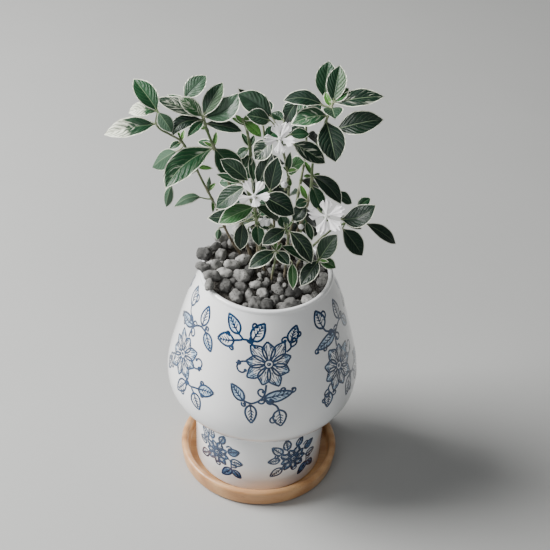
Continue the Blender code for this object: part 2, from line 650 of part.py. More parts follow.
def blade_sheet(leaf, path, deeper=0, turned_by=0):
    """The middle surface of a blade: rows of three points, the last row drawn in to the tip."""
    node = nearest_on(path, leaf.at) if leaf.at else path[-1]
    rise = node_pixel_y(node) - leaf.tip[1]
    deep = leaf.deep * MM if leaf.deep is not None else rise * BACK_PER_PIXEL_UP
    deep += deeper * MM
    foot = node
    if leaf.foot:
        foot = spot(leaf.foot, node.y + 0.35 * deep)
    tip = spot(leaf.tip, node.y + deep)
    run = tip - foot
    facing = ((EYE - foot).normalized() + Vector((0, 0, 1))).normalized()
    normal = (facing - run * (facing.dot(run) / run.length_squared)).normalized()
    normal = Matrix.Rotation(radians(leaf.turn + turned_by), 3, run) @ normal
    if leaf.via:
        middle = spot(leaf.via, (foot.y + tip.y) / 2)
    else:
        middle = (foot + tip) / 2 + normal * (BLADE_ARCH * run.length)
    control = middle * 2 - (foot + tip) / 2
    half = leaf.wide * PIXEL_SIZE / 2 / VIEW_SHORTENING
    rows = []
    for t, share in blade_stations(leaf):
        centre = foot * (1 - t) ** 2 + control * (2 * t * (1 - t)) + tip * t ** 2
        along = ((control - foot) * (1 - t) + (tip - control) * t).normalized()
        face = (normal - along * normal.dot(along)).normalized()
        side = along.cross(face)
        reach = half * share
        lift = face * (reach * sin(BLADE_FOLD))
        rows.append([centre - side * reach * cos(BLADE_FOLD) + lift, centre,
                     centre + side * reach * cos(BLADE_FOLD) + lift])
    return node, foot, rows, normal


def node_pixel_y(point):
    """Picture y of a point in space."""
    off = point - EYE
    return PICTURE_CENTRE - FOCAL_PIXELS * off.dot(UP) / off.dot(FORWARD)


def sheet_triangles(rows):
    """Triangles of a sheet of rows of three points, as indices into the rows laid end to end."""
    faces = []
    for i in range(len(rows) - 1):
        a = 3 * i
        for k in (0, 1):
            faces += [(a + k, a + k + 1, a + k + 4), (a + k, a + k + 4, a + k + 3)]
    return faces


def sheet_tree(rows, normal, half):
    """A search tree of a sheet, or of a slab this far to each side of it."""
    flat = [point for row in rows for point in row]
    faces = sheet_triangles(rows)
    if not half:
        return BVHTree.FromPolygons(flat, faces)
    wide = []
    for left, middle, right in rows:
        across = right - left
        grow = across.normalized() * (0.5 * half) if across.length > 0 else Vector()
        wide += [left - grow, middle, right + grow]
    points = [p + normal * half for p in wide] + [p - normal * half for p in wide]
    count = len(wide)
    slab = faces + [tuple(i + count for i in face) for face in faces]
    for i in range(len(rows) - 1):
        for a, b in ((3 * i, 3 * i + 3), (3 * i + 2, 3 * i + 5)):
            slab += [(a, b, b + count), (a, b + count, a + count)]
    return BVHTree.FromPolygons(points, slab)


def tree_of(obj):
    graph = bpy.context.evaluated_depsgraph_get()
    return BVHTree.FromObject(obj, graph)


def blade_object(rows, helpers):
    """A thin closed blade: the sheet's grid, its tip drawn together, given its thickness."""
    bm = bmesh.new()
    bmesh.ops.create_grid(bm, x_segments=len(rows) - 1, y_segments=2, size=1)
    verts = sorted(bm.verts, key=lambda v: (round(v.co.x, 3), round(v.co.y, 3)))
    for vert, place in zip(verts, [point for row in rows for point in row]):
        vert.co = place
    bmesh.ops.triangulate(bm, faces=bm.faces, quad_method="FIXED")
    bmesh.ops.remove_doubles(bm, verts=bm.verts, dist=0.001 * MM)
    mesh = bpy.data.meshes.new("blade")
    bm.to_mesh(mesh)
    bm.free()
    obj = new_object("blade", mesh, helpers)
    shell = obj.modifiers.new("thickness", "SOLIDIFY")
    shell.thickness = BLADE_THICKNESS
    shell.offset = 0
    apply_modifiers(obj)
    return obj


def place_leaves(paths, fixed):
    """Settles every blade in turn: the first depth and turn that clear what other nodes hold already."""
    settled = {}
    taken = list(fixed)
    for stem in STEMS:
        settled[stem.name] = []
        for leaf in stem.leaves:
            others = [tree for owner, tree in taken if owner != stem.name]
            chosen = None
            for turned_by in TURN_SHIFTS:
                for deeper in DEPTH_SHIFTS:
                    node, foot, rows, normal = blade_sheet(leaf, paths[stem.name][0], deeper, turned_by)
                    slab = sheet_tree(rows, normal, BLADE_CLEARANCE)
                    if not any(slab.overlap(tree) for tree in others):
                        chosen = (node, foot, rows, leaf.foot)
                        break
                if chosen:
                    break
            if not chosen:
                print("no clear place for", stem.name, leaf)
                continue
            settled[stem.name].append(chosen)
            taken.append((stem.name, sheet_tree(chosen[2], normal, 0)))
    return settled


def make_leafy_stem(stem, path, radii, blades, twigs, group, finish, helpers):
    """A stem with its petioles, twigs and blades fused into one solid."""
    obj = tube(stem.name, path, radii, group, sides=STEM_SIDES if stem.thick > SLENDER else 0)
    obj.data.materials.append(finish)
    for node, foot, rows, has_petiole in blades:
        blade_object(rows, helpers)
        if has_petiole:
            along = (rows[1][1] - foot).normalized() * PETIOLE_BITE
            tube("petiole", [node, foot + along], [PETIOLE_RADIUS] * 2, helpers, sides=0)
    for route in twigs:
        tube("twig", route, [TWIG_RADIUS] * 3, helpers, sides=0)
    fuse(obj, helpers, "MANIFOLD")
    return obj


def bloom_frame(bloom):
    """Centre and facing of a bloom."""
    centre = spot(bloom.centre, bloom.depth * MM)
    facing = ((EYE - centre).normalized() + Vector((0, 0, 0.25))).normalized()
    return centre, facing


def petal_points(centre, tip, facing, wide):
    """Points of one petal from its narrow base to its three lobes, twisted to lie over the next petal."""
    run = tip - centre
    side = run.normalized().cross(facing)
    half = wide * PIXEL_SIZE / 2

    def place(s, t):
        lift = PETAL_CUP * run.length * t * t + tan(PETAL_TWIST) * half * s - 0.4 * MM * s * s
        return centre + run * t + side * (half * s) + facing * lift

    points = []
    for t, share in PETAL_STATIONS:
        points += [place(-share, t), place(0, t), place(share, t)]
    points += [place(s, t) for s, t in PETAL_TEETH]
    return points


PETAL_FACES = [(0, 1, 4), (0, 4, 3), (1, 2, 5), (1, 5, 4), (3, 4, 6), (6, 4, 7), (7, 4, 8), (8, 4, 9),
               (9, 4, 10), (10, 4, 5)]


def petal_object(points, facing, helpers):
    """A petal with a three-lobed tip: its outline's faces pushed through to a thickness."""
    bm = bmesh.new()
    verts = [bm.verts.new(point - facing * (PETAL_THICKNESS / 2)) for point in points]
    for face in PETAL_FACES:
        bm.faces.new([verts[i] for i in face])
    pushed = bmesh.ops.extrude_face_region(bm, geom=bm.faces[:], use_keep_orig=True)["geom"]
    bmesh.ops.translate(bm, vec=facing * PETAL_THICKNESS,
                        verts=[item for item in pushed if isinstance(item, bmesh.types.BMVert)])
    bmesh.ops.recalc_face_normals(bm, faces=bm.faces)
    mesh = bpy.data.meshes.new("petal")
    bm.to_mesh(mesh)
    bm.free()
    return new_object("petal", mesh, helpers)


def make_bloom(bloom, group, finish, helpers):
    """Five petals on a slender corolla tube."""
    centre, facing = bloom_frame(bloom)
    back = centre - facing * TUBE_LENGTH
    path = [back, back.lerp(centre, 0.6), centre + facing * (0.5 * MM)]
    obj = tube(bloom.name, path, [TUBE_RADII[0], TUBE_RADII[0], TUBE_RADII[1]], group)
    obj.data.materials.append(finish)
    for pixel in bloom.petals:
        tip = spot_on_plane(pixel, centre, facing)
        petal_object(petal_points(centre, tip, facing, bloom.wide), facing, helpers)
    fuse(obj, helpers)
    return obj


def make_bud(bud, group, finish):
    """A closed white bud, an egg drawn out towards its tip."""
    base = spot(bud.centre, bud.depth * MM)
    tip = spot(bud.tip, (bud.depth - 2) * MM)
    size = bud.size * MM
    shares = ((-0.9, 0.35), (-0.3, 0.85), (0.3, 1.0), (0.8, 0.75), (1.2, 0.25))
    axis = (tip - base).normalized()
    path = [base.lerp(tip, 0.5) + axis * (size * along) for along, _ in shares]
    obj = tube(bud.name, path, [size * share for _, share in shares], group)
    obj.data.materials.append(finish)
    return obj, path[0], axis


def twig_to(path, seat, axis):
    """The route of a twig from the stem that comes up behind what it carries and stops a gap short of it."""
    bend = seat - axis * TWIG_APPROACH
    return nearest_by_distance(path, bend), bend, seat - axis * (1.5 * GAP)


def cut_root_holes(target, paths, cutters):
    """Plain holes that the stems stand in."""
    for name, (path, radii) in paths.items():
        low = [(point, radius) for point, radius in zip(path, radii) if point.z < HOLE_TOP]
        if len(low) < len(path):
            low.append((path[len(low)], radii[len(low)]))
        end = low[0][0] - Vector((0, 0, GAP))
        route = [end] + [point for point, _ in low[1:]]
        cutter = tube("hole_" + name, route, [radius + HOLE_CLEARANCE for _, radius in low], cutters)
        cutter.hide_render = True
        cutter.display_type = "WIRE"
    for cutter in cutters.objects:
        cut = target.modifiers.new(cutter.name, "BOOLEAN")
        cut.operation = "DIFFERENCE"
        cut.object = cutter
    apply_modifiers(target)
    for cutter in list(cutters.objects):
        bpy.data.objects.remove(cutter, do_unlink=True)


def main():
    clear_scene()
    parts = new_collection("potted_serissa")
    cutters = new_collection("cutters", hidden=True)
    helpers = new_collection("helpers", hidden=True)
    wood = material("bamboo", (0.62, 0.40, 0.22), 0.5)
    ceramic = material("glazed_ceramic", (0.86, 0.87, 0.88), 0.12)
    earth = material("potting_soil", (0.10, 0.06, 0.04), 0.95)
    pumice = material("pumice", (0.42, 0.42, 0.41), 0.95)
    leaf_green = material("serissa_leaf", (0.05, 0.16, 0.06), 0.4)
    white = material("serissa_bloom", (0.92, 0.91, 0.93), 0.5)

    make_saucer(parts, wood)
    make_pot(parts, ceramic)
    soil = make_soil(parts, earth)

    paths = {stem.name: stem_path(stem) for stem in STEMS}
    axes = [(point, radius) for path, radii in paths.values()
            for point, radius in zip(path, radii) if point.z < STEM_FEET_TOP]
    gravel = make_gravel(parts, pumice, axes, helpers)
    cut_root_holes(soil, paths, cutters)
    cut_root_holes(gravel, paths, cutters)

    fixed = []
    for name, (path, radii) in paths.items():
        guide = tube("guide", path, [radius + GAP for radius in radii], helpers)
        fixed.append((name, tree_of(guide)))
        bpy.data.objects.remove(guide, do_unlink=True)
    twigs = {stem.name: [] for stem in STEMS}
    for bloom in BLOOMS:
        obj = make_bloom(bloom, parts, white, helpers)
        fixed.append((bloom.name, tree_of(obj)))
        centre, facing = bloom_frame(bloom)
        seat = centre - facing * TUBE_LENGTH
        twigs[bloom.twig].append(twig_to(paths[bloom.twig][0], seat, facing))
    for bud in BUDS:
        obj, seat, axis = make_bud(bud, parts, white)
        fixed.append((bud.name, tree_of(obj)))
        twigs[bud.twig].append(twig_to(paths[bud.twig][0], seat, axis))

    settled = place_leaves(paths, fixed)
    for stem in STEMS:
        path, radii = paths[stem.name]
        make_leafy_stem(stem, path, radii, settled[stem.name], twigs[stem.name], parts, leaf_green, helpers)
    for group in (cutters, helpers):
        bpy.data.collections.remove(group)


def nearest_by_distance(path, place):
    return min((a.lerp(b, k / 4) for a, b in zip(path, path[1:]) for k in range(5)),
               key=lambda point: (point - place).length)


main()
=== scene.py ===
# %% [markdown]
# # A potted variegated serissa
# This lesson dresses a plain solid model of a small potted shrub: a glazed pot on a bamboo saucer,
# pumice gravel, woody stems with cream-edged leaves, and white blooms. The solid model is the frame:
# each finer piece is built where its solid stands, and then takes the solid's place.

# %% Load the frame
import random
from collections import namedtuple
from math import cos, degrees, exp, pi, radians, sin, sqrt, tan

import bmesh
import bpy
from mathutils import Matrix, Vector, noise
from mathutils.kdtree import KDTree


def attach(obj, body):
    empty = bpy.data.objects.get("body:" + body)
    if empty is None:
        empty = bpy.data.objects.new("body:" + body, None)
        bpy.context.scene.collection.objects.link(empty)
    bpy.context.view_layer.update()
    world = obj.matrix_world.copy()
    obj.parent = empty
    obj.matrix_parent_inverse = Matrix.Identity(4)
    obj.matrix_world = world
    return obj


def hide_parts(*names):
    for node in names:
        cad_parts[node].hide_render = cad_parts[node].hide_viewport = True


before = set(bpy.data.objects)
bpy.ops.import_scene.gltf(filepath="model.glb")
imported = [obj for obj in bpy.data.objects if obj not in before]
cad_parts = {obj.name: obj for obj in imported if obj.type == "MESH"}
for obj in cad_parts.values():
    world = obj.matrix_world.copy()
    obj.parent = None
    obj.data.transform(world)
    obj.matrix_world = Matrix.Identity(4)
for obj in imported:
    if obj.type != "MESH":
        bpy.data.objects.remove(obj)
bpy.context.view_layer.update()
MM = 0.001
GAP = 0.3 * MM

# %% [markdown]
# The plant was laid out as seen from one viewpoint: each leaf tip has a place in a 550 x 550 picture,
# and a depth. A point is then the meeting of a line of sight with an upright plane. The same viewpoint
# is where the camera stands, so the lens follows from the focal length in pixels.

# %% The viewpoint and the camera
PICTURE_WIDTH = 550
PICTURE_CENTRE = PICTURE_WIDTH / 2
FOCAL_PIXELS = 1400
EYE = Vector((0, -518.2 * MM, 505.2 * MM))
LOOK_DOWN = radians(37.08)
LOOK_ASIDE = radians(0.43)
LEAN = radians(3.01)
PIXEL_SIZE = 0.457 * MM


def view_axes():
    """Right, up and forward of the viewpoint."""
    forward = Vector((sin(LOOK_ASIDE) * cos(LOOK_DOWN), cos(LOOK_ASIDE) * cos(LOOK_DOWN), -sin(LOOK_DOWN)))
    level = Vector((cos(LOOK_ASIDE), -sin(LOOK_ASIDE), 0))
    above = level.cross(forward)
    return level * cos(LEAN) + above * sin(LEAN), above * cos(LEAN) - level * sin(LEAN), forward


RIGHT, UP, FORWARD = view_axes()


def sight(pixel):
    """Direction from the eye through a point of the picture."""
    across = (pixel[0] - PICTURE_CENTRE) / FOCAL_PIXELS
    down = (pixel[1] - PICTURE_CENTRE) / FOCAL_PIXELS
    return FORWARD + RIGHT * across - UP * down


def spot(pixel, depth):
    """The point seen at this pixel that lies at this depth, y in metres."""
    ray = sight(pixel)
    return EYE + ray * ((depth - EYE.y) / ray.y)


camera = bpy.data.objects.new("camera", bpy.data.cameras.new("camera"))
bpy.context.scene.collection.objects.link(camera)
camera.data.sensor_width = 36
camera.data.lens = FOCAL_PIXELS / PICTURE_WIDTH * 36
turn = Matrix((RIGHT, UP, -FORWARD)).transposed().to_4x4()
camera.matrix_world = Matrix.Translation(EYE) @ turn
bpy.context.scene.camera = camera
print("camera lens", round(camera.data.lens, 2), "mm, looking down", round(degrees(LOOK_DOWN), 1), "degrees")

# %% [markdown]
# Shaders and Geometry Nodes are both made of the same maths nodes. Writing each node by hand hides the
# formula, so one small class wraps a socket and turns Python's operators into nodes. Anything that isn't
# plain maths comes from one method that takes a node's type, its settings and its inputs.


# %% A class that turns expressions into nodes
class Wire:
    """One output socket of a node tree, usable in a Python expression."""

    def __init__(self, net, socket):
        self.net = net
        self.socket = socket

    def join(self, operation, other, swapped=False):
        a, b = (other, self) if swapped else (self, other)
        vectors = [isinstance(v, (tuple, Vector)) or isinstance(v, Wire) and v.socket.type == "VECTOR"
                   for v in (a, b)]
        if not any(vectors):
            return self.net.node("ShaderNodeMath", {"operation": operation}, {0: a, 1: b})
        if operation == "MULTIPLY" and not all(vectors):
            vector, number = (a, b) if vectors[0] else (b, a)
            return self.net.node("ShaderNodeVectorMath", {"operation": "SCALE"}, {0: vector, "Scale": number})
        return self.net.node("ShaderNodeVectorMath", {"operation": operation}, {0: a, 1: b})

    def __add__(self, other):
        return self.join("ADD", other)

    def __radd__(self, other):
        return self.join("ADD", other, True)

    def __sub__(self, other):
        return self.join("SUBTRACT", other)

    def __rsub__(self, other):
        return self.join("SUBTRACT", other, True)

    def __mul__(self, other):
        return self.join("MULTIPLY", other)

    def __rmul__(self, other):
        return self.join("MULTIPLY", other, True)

    def __truediv__(self, other):
        return self.join("DIVIDE", other)

    def __pow__(self, other):
        return self.join("POWER", other)

    def __lt__(self, other):
        return self.join("LESS_THAN", other)

    def __gt__(self, other):
        return self.join("GREATER_THAN", other)

    def calc(self, operation, other=0.0):
        """A Math node's named operation, such as SINE or FRACT."""
        return self.join(operation, other)

    def vec(self, operation, other=(0, 0, 0), out=0):
        """A Vector Math node's named operation."""
        return self.net.node("ShaderNodeVectorMath", {"operation": operation}, {0: self, 1: other}, out)

    def smooth(self, low, high):
        """0 below low, 1 above high, and a soft step between."""
        return self.net.node("ShaderNodeMapRange", {"interpolation_type": "SMOOTHSTEP"},
                             {0: self, 1: low, 2: high})


class Net:
    """Builds one node tree."""

    def __init__(self, tree):
        self.tree = tree

    def node(self, kind, settings=None, inputs=None, out=0):
        made = self.tree.nodes.new(kind)
        for key, value in (settings or {}).items():
            if key == "points":
                curve = made.mapping.curves[0]
                while len(curve.points) < len(value):
                    curve.points.new(0.5, 0.5)
                for point, place in zip(curve.points, value):
                    point.location = place
                made.mapping.update()
            elif key == "stops":
                while len(made.color_ramp.elements) < len(value):
                    made.color_ramp.elements.new(0.5)
                for element, (place, colour) in zip(made.color_ramp.elements, value):
                    element.position = place
                    element.color = (*colour, 1)
            else:
                setattr(made, key, value)
        for key, value in (inputs or {}).items():
            self.put(made.inputs[key], value)
        return Wire(self, made.outputs[out]) if len(made.outputs) else made

    def put(self, socket, value):
        if isinstance(value, Wire):
            self.tree.links.new(value.socket, socket)
        elif value is not None:
            socket.default_value = value

    def other(self, wire, out):
        """Another output of the node that made this wire."""
        return Wire(self, wire.socket.node.outputs[out])

    def vector(self, x, y, z):
        return self.node("ShaderNodeCombineXYZ", {}, {0: x, 1: y, 2: z})

    def parts(self, vector):
        first = self.node("ShaderNodeSeparateXYZ", {}, {0: vector})
        return first, self.other(first, 1), self.other(first, 2)

    def noise(self, vector, scale, detail=2.0, roughness=0.5):
        return self.node("ShaderNodeTexNoise", {},
                         {"Vector": vector, "Scale": scale, "Detail": detail, "Roughness": roughness})

    def curve(self, value, points):
        return self.node("ShaderNodeFloatCurve", {"points": points}, {"Value": value})


class Finish(Net):
    """A material: a net around its Principled shader."""

    def __init__(self, name, **fixed):
        self.material = bpy.data.materials.new(name)
        self.material.use_nodes = True
        super().__init__(self.material.node_tree)
        self.shader = self.tree.nodes["Principled BSDF"]
        for key, value in fixed.items():
            self.shader.inputs[key.replace("_", " ")].default_value = value

    def set(self, name, value):
        self.put(self.shader.inputs[name], value)

    def attribute(self, name, out=2):
        return self.node("ShaderNodeAttribute", {"attribute_name": name}, {}, out)

    def place(self):
        """Position on the piece, in metres."""
        return self.node("ShaderNodeTexCoord", {}, {}, 3)

    def mix(self, share, a, b):
        colours = [value if isinstance(value, Wire) else (*value, 1) for value in (a, b)]
        return self.node("ShaderNodeMix", {"data_type": "RGBA"}, {0: share, 6: colours[0], 7: colours[1]}, 2)

    def ramp(self, value, stops):
        return self.node("ShaderNodeValToRGB", {"stops": stops}, {0: value})

    def bump(self, height, strength, distance):
        self.set("Normal", self.node("ShaderNodeBump", {}, {"Height": height, "Strength": strength,
                                                            "Distance": distance}))


class Recipe(Net):
    """A Geometry Nodes tree with named inputs."""

    def __init__(self, name, **inputs):
        super().__init__(bpy.data.node_groups.new(name, "GeometryNodeTree"))
        face = self.tree.interface
        face.new_socket(name="Geometry", in_out="INPUT", socket_type="NodeSocketGeometry")
        face.new_socket(name="Geometry", in_out="OUTPUT", socket_type="NodeSocketGeometry")
        self.inputs = {}
        for key, kind in inputs.items():
            socket = face.new_socket(name=key, in_out="INPUT", socket_type="NodeSocket" + kind)
            self.inputs[key] = socket.identifier
        self.start = self.tree.nodes.new("NodeGroupInput")

    def given(self, name):
        return Wire(self, self.start.outputs[name])

    def attribute(self, name, kind="FLOAT"):
        return self.node("GeometryNodeInputNamedAttribute", {"data_type": kind}, {"Name": name})

    def store(self, geometry, name, value):
        return self.node("GeometryNodeStoreNamedAttribute", {"data_type": "FLOAT", "domain": "POINT"},
                         {"Geometry": geometry, "Name": name, "Value": value})

    def moved(self, geometry, position):
        return self.node("GeometryNodeSetPosition", {}, {"Geometry": geometry, "Position": position})

    def painted(self, geometry, material):
        return self.node("GeometryNodeSetMaterial", {}, {"Geometry": geometry, "Material": material})

    def joined(self, *pieces):
        node = self.tree.nodes.new("GeometryNodeJoinGeometry")
        for piece in pieces:
            self.tree.links.new(piece.socket, node.inputs[0])
        return Wire(self, node.outputs[0])

    def finish(self, geometry):
        self.tree.links.new(geometry.socket, self.tree.nodes.new("NodeGroupOutput").inputs[0])

    def grow(self, name, seedbed, **values):
        """Runs the recipe on a mesh and returns a plain mesh object."""
        obj = new_object(name, seedbed)
        modifier = obj.modifiers.new("recipe", "NODES")
        modifier.node_group = self.tree
        for key, value in values.items():
            modifier[self.inputs[key]] = value
        return settle_modifiers(obj)


def new_object(name, mesh):
    obj = bpy.data.objects.new(name, mesh)
    bpy.context.scene.collection.objects.link(obj)
    return obj


def settle_modifiers(obj):
    """Keeps the evaluated shape as the object's own mesh."""
    graph = bpy.context.evaluated_depsgraph_get()
    shaped = bpy.data.meshes.new_from_object(obj.evaluated_get(graph), preserve_all_data_layers=True,
                                             depsgraph=graph)
    obj.modifiers.clear()
    obj.data = shaped
    return obj


def seedbed(name, points, edges=(), **attributes):
    """A mesh of bare points and edges that carries numbers and vectors for a recipe."""
    mesh = bpy.data.meshes.new(name)
    mesh.from_pydata(points, edges, [])
    for key, values in attributes.items():
        vector = isinstance(values[0], Vector)
        layer = mesh.attributes.new(key, "FLOAT_VECTOR" if vector else "FLOAT", "POINT")
        for item, value in zip(layer.data, values):
            if vector:
                item.vector = value
            else:
                item.value = value
    return mesh


def smooth(obj, angle=40):
    obj.data.shade_smooth()
    obj.data.set_sharp_from_angle(angle=radians(angle))


def hand_over(obj, slot, *nodes):
    """Seats a finished piece: it rides on the frame and stands for its solids."""
    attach(obj, "root")
    if nodes:
        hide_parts(*nodes)
    obj.data.calc_loop_triangles()
    print(obj.name, len(obj.data.loop_triangles), "triangles")


def curved(points, count):
    """A smooth run through points of any dimension: a Catmull-Rom curve with this many points a span."""
    run = [points[0] * 2 - points[1], *points, points[-1] * 2 - points[-2]]
    made = []
    for i in range(1, len(run) - 2):
        a, b, c, d = run[i - 1:i + 3]
        for k in range(count):
            t = k / count
            made.append(0.5 * (b * 2 + (c - a) * t + (a * 2 - b * 5 + c * 4 - d) * t ** 2
                               + (b * 3 - a - c * 3 + d) * t ** 3))
    made.append(points[-1].copy())
    return made


print("helpers ready")

# %% [markdown]
# ## The saucer
# A bamboo saucer is turned on a lathe from strips glued side by side, so its grain runs straight across
# while its shape is round. A turned shape is a profile swept round an axis: the Screw modifier does it
# from a short list of points, and the arcs keep the thick rim soft.

# %% Turned shapes
SAUCER_RADIUS = 39.2 * MM
SAUCER_HEIGHT = 9.6 * MM
SAUCER_FLOOR = 3.0 * MM
SAUCER_RIM_RADIUS = 35.7 * MM
TURNED_STEPS = 144


def arc(centre, radius, start, end, count):
    """Points of a round stretch of a profile, angles in degrees from +r towards +z."""
    turns = [radians(start + (end - start) * i / (count - 1)) for i in range(count)]
    return [(centre[0] + radius * cos(a), centre[1] + radius * sin(a)) for a in turns]


def turned(name, profile, finish):
    """A turned solid: the profile runs down the outside and back up inside, or on to the axis."""
    mesh = bpy.data.meshes.new(name)
    mesh.from_pydata([(r, 0, z) for r, z in profile], [(i, i + 1) for i in range(len(profile) - 1)], [])
    mesh.materials.append(finish)
    obj = new_object(name, mesh)
    screw = obj.modifiers.new("turn", "SCREW")
    screw.steps = screw.render_steps = TURNED_STEPS
    screw.use_merge_vertices = True
    screw.merge_threshold = 0.0001 * MM
    settle_modifiers(obj)
    smooth(obj)
    return obj


# %% Bamboo
def bamboo_finish():
    """Pale strips a few millimetres wide, each with fine dark fibres along it."""
    wood = Finish("bamboo", Coat_Roughness=0.22, Coat_Weight=0.3)
    x, y, z = wood.parts(wood.place())
    strips = wood.noise(wood.vector(0.0, y * 190, z * 120), 1.0, 0.0)
    fibre = wood.noise(wood.vector(x * 26, y * 1500, z * 1500), 1.0, 4.0, 0.65)
    cloud = wood.noise(wood.place(), 45, 2.0)
    tone = strips * 0.5 + cloud * 0.25 + fibre * 0.35
    colour = wood.ramp(tone, [(0.36, (0.36, 0.165, 0.06)), (0.52, (0.50, 0.26, 0.11)), (0.68, (0.61, 0.36, 0.17))])
    dark = fibre.smooth(0.56, 0.70)
    wood.set("Base Color", wood.mix(dark * 0.5, colour, (0.20, 0.085, 0.03)))
    wood.set("Roughness", 0.36 + fibre * 0.2)
    wood.bump(fibre, 0.25, 0.0002)
    return wood.material


def make_saucer():
    round_off = 2.2 * MM
    lip = (SAUCER_RADIUS - SAUCER_RIM_RADIUS) / 2
    profile = [(0, SAUCER_FLOOR), (SAUCER_RIM_RADIUS - 4 * MM, SAUCER_FLOOR)]
    profile += arc((SAUCER_RIM_RADIUS - 1.6 * MM, SAUCER_FLOOR + 1.6 * MM), 1.6 * MM, -90, 0, 8)
    profile += arc((SAUCER_RIM_RADIUS + lip, SAUCER_HEIGHT - lip), lip, 180, 0, 22)
    profile += arc((SAUCER_RADIUS - 0.8 * MM - round_off, round_off), round_off, 0, -90, 12)
    profile += [(0, 0)]
    saucer = turned("bamboo_saucer", profile, bamboo_finish())
    hand_over(saucer, "bamboo", "saucer")


make_saucer()

# %% [markdown]
# ## The pot
# The pot is one piece of glazed ceramic: an egg-shaped body that narrows to its mouth, on a straight
# foot. Its outline is a smooth curve through eight measured points. The glaze is close to white and wet
# looking: nearly no roughness, with slow waves where it ran in the kiln.

# %% The pot's outline
FOOT_RADIUS = 32.0 * MM
FOOT_TOP = 41.9 * MM
BODY_RADIUS = 46.0 * MM
BODY_WIDEST = 57.5 * MM
MOUTH_RADIUS = 30.9 * MM
POT_TOP = 116.1 * MM
POT_WALL = 2.4 * MM
POT_FLOOR = 4.5 * MM
CAVITY_LIFT = 1.2 * MM
DRAIN_RADIUS = 5.0 * MM
FOOT_BOTTOM = SAUCER_FLOOR + GAP


def body_outline(inset=0.0, count=2):
    """The egg-shaped outside from the mouth down to the foot, or a wall's thickness inside it."""
    shape = [(MOUTH_RADIUS, POT_TOP - 2.0 * MM), (36.6 * MM, 100.0 * MM), (42.1 * MM, 80.0 * MM),
             (45.4 * MM, 66.0 * MM), (BODY_RADIUS, BODY_WIDEST), (44.4 * MM, 50.5 * MM),
             (40.0 * MM, 44.6 * MM), (34.6 * MM, 42.2 * MM)]
    return [(p.x - inset, p.y) for p in curved([Vector(q) for q in shape], count)]


def inner_wall(count=1):
    """The cavity's wall from the inner edge of the lip down to the neck above the foot."""
    wall = [(r, z + CAVITY_LIFT) for r, z in body_outline(POT_WALL, count)[:-count]]
    lip = POT_WALL / 2
    return [(MOUTH_RADIUS - POT_WALL, POT_TOP - lip)] + [point for point in wall if point[1] < POT_TOP - lip]


def make_pot_shape(finish):
    lip = POT_WALL / 2
    fillet = arc((FOOT_RADIUS + 1.6 * MM, FOOT_TOP - 1.2 * MM), 1.6 * MM, 110, 180, 10)
    foot = [(FOOT_RADIUS, 30 * MM), (FOOT_RADIUS - 0.4 * MM, FOOT_BOTTOM + 2.0 * MM)]
    foot += arc((FOOT_RADIUS - 1.6 * MM, FOOT_BOTTOM + 1.0 * MM), 1.0 * MM, 0, -90, 6)
    cavity_floor = FOOT_BOTTOM + POT_FLOOR
    neck = FOOT_RADIUS - POT_WALL
    drain = [(DRAIN_RADIUS, FOOT_BOTTOM), (DRAIN_RADIUS, cavity_floor)]
    cavity = [(neck - 3.0 * MM, cavity_floor), (neck, cavity_floor + 3.0 * MM), (neck, FOOT_TOP + 1.0 * MM)]
    outside = body_outline(0.0, 12)
    mouth = arc((MOUTH_RADIUS - lip, POT_TOP - lip), lip, 180, 8, 16)
    profile = outside + fillet + foot + drain + cavity + list(reversed(inner_wall()))[:-1] + mouth + outside[:1]
    return turned("glazed_pot", profile, finish)


def glaze_finish():
    glaze = Finish("glazed_ceramic", Roughness=0.13, Coat_Weight=0.5, Coat_Roughness=0.04, IOR=1.5)
    cloud = glaze.noise(glaze.place(), 22, 3.0)
    glaze.set("Base Color", glaze.mix(cloud.smooth(0.3, 0.75), (0.84, 0.855, 0.87), (0.90, 0.90, 0.895)))
    glaze.bump(glaze.noise(glaze.place(), 90, 1.0), 0.08, 0.0006)
    return glaze.material


def make_pot():
    pot = make_pot_shape(glaze_finish())
    hand_over(pot, "glazed_ceramic", "pot")


make_pot()

# %% [markdown]
# ## The painted ornament
# The pot carries flowering sprays in cobalt blue, a pattern of a common traditional kind: brush lines
# for outlines, veins and curls, and a thin wash inside the leaves. A brush line is a ribbon. Each one is
# drawn flat, in millimetres along and up the wall, and is then laid on the wall's curve. A recipe sets
# one painted spray round the pot again and again, every second one upside down.

# %% Brush strokes, drawn flat
LINE = 0.98
HAIR = 0.6
PAINT_LIFT = 0.04 * MM
WASH_LIFT = 0.02 * MM


def flat(*points):
    return [Vector(point) for point in points]


def ribbon(points, width, taper=0.0):
    """A flat strip along a run of points: its outline's points and faces."""
    made, faces = [], []
    for i, point in enumerate(points):
        ahead = points[min(i + 1, len(points) - 1)] - points[max(i - 1, 0)]
        side = Vector((-ahead.y, ahead.x)).normalized()
        share = 1 - taper * i / (len(points) - 1)
        made += [point + side * (width * share / 2), point - side * (width * share / 2)]
        if i:
            k = 2 * i
            faces.append((k - 2, k - 1, k + 1, k))
    return made, faces


def disc(centre, radius, count=10):
    """A round dab of paint."""
    made = [centre] + [centre + Vector((cos(a), sin(a))) * radius
                       for a in (2 * pi * i / count for i in range(count))]
    return made, [(0, 1 + i, 1 + (i + 1) % count) for i in range(count)]


def curl(start, heading, size, side):
    """A tendril that rolls up and ends in a dab."""
    points, place, angle = [start], start, radians(heading)
    steps = 14
    for i in range(steps):
        angle += side * radians(6 + 26 * i / steps)
        place = place + Vector((cos(angle), sin(angle))) * (size * 2.2 / steps)
        points.append(place)
    return [ribbon(points, LINE * 0.9), disc(place, LINE * 0.85)]


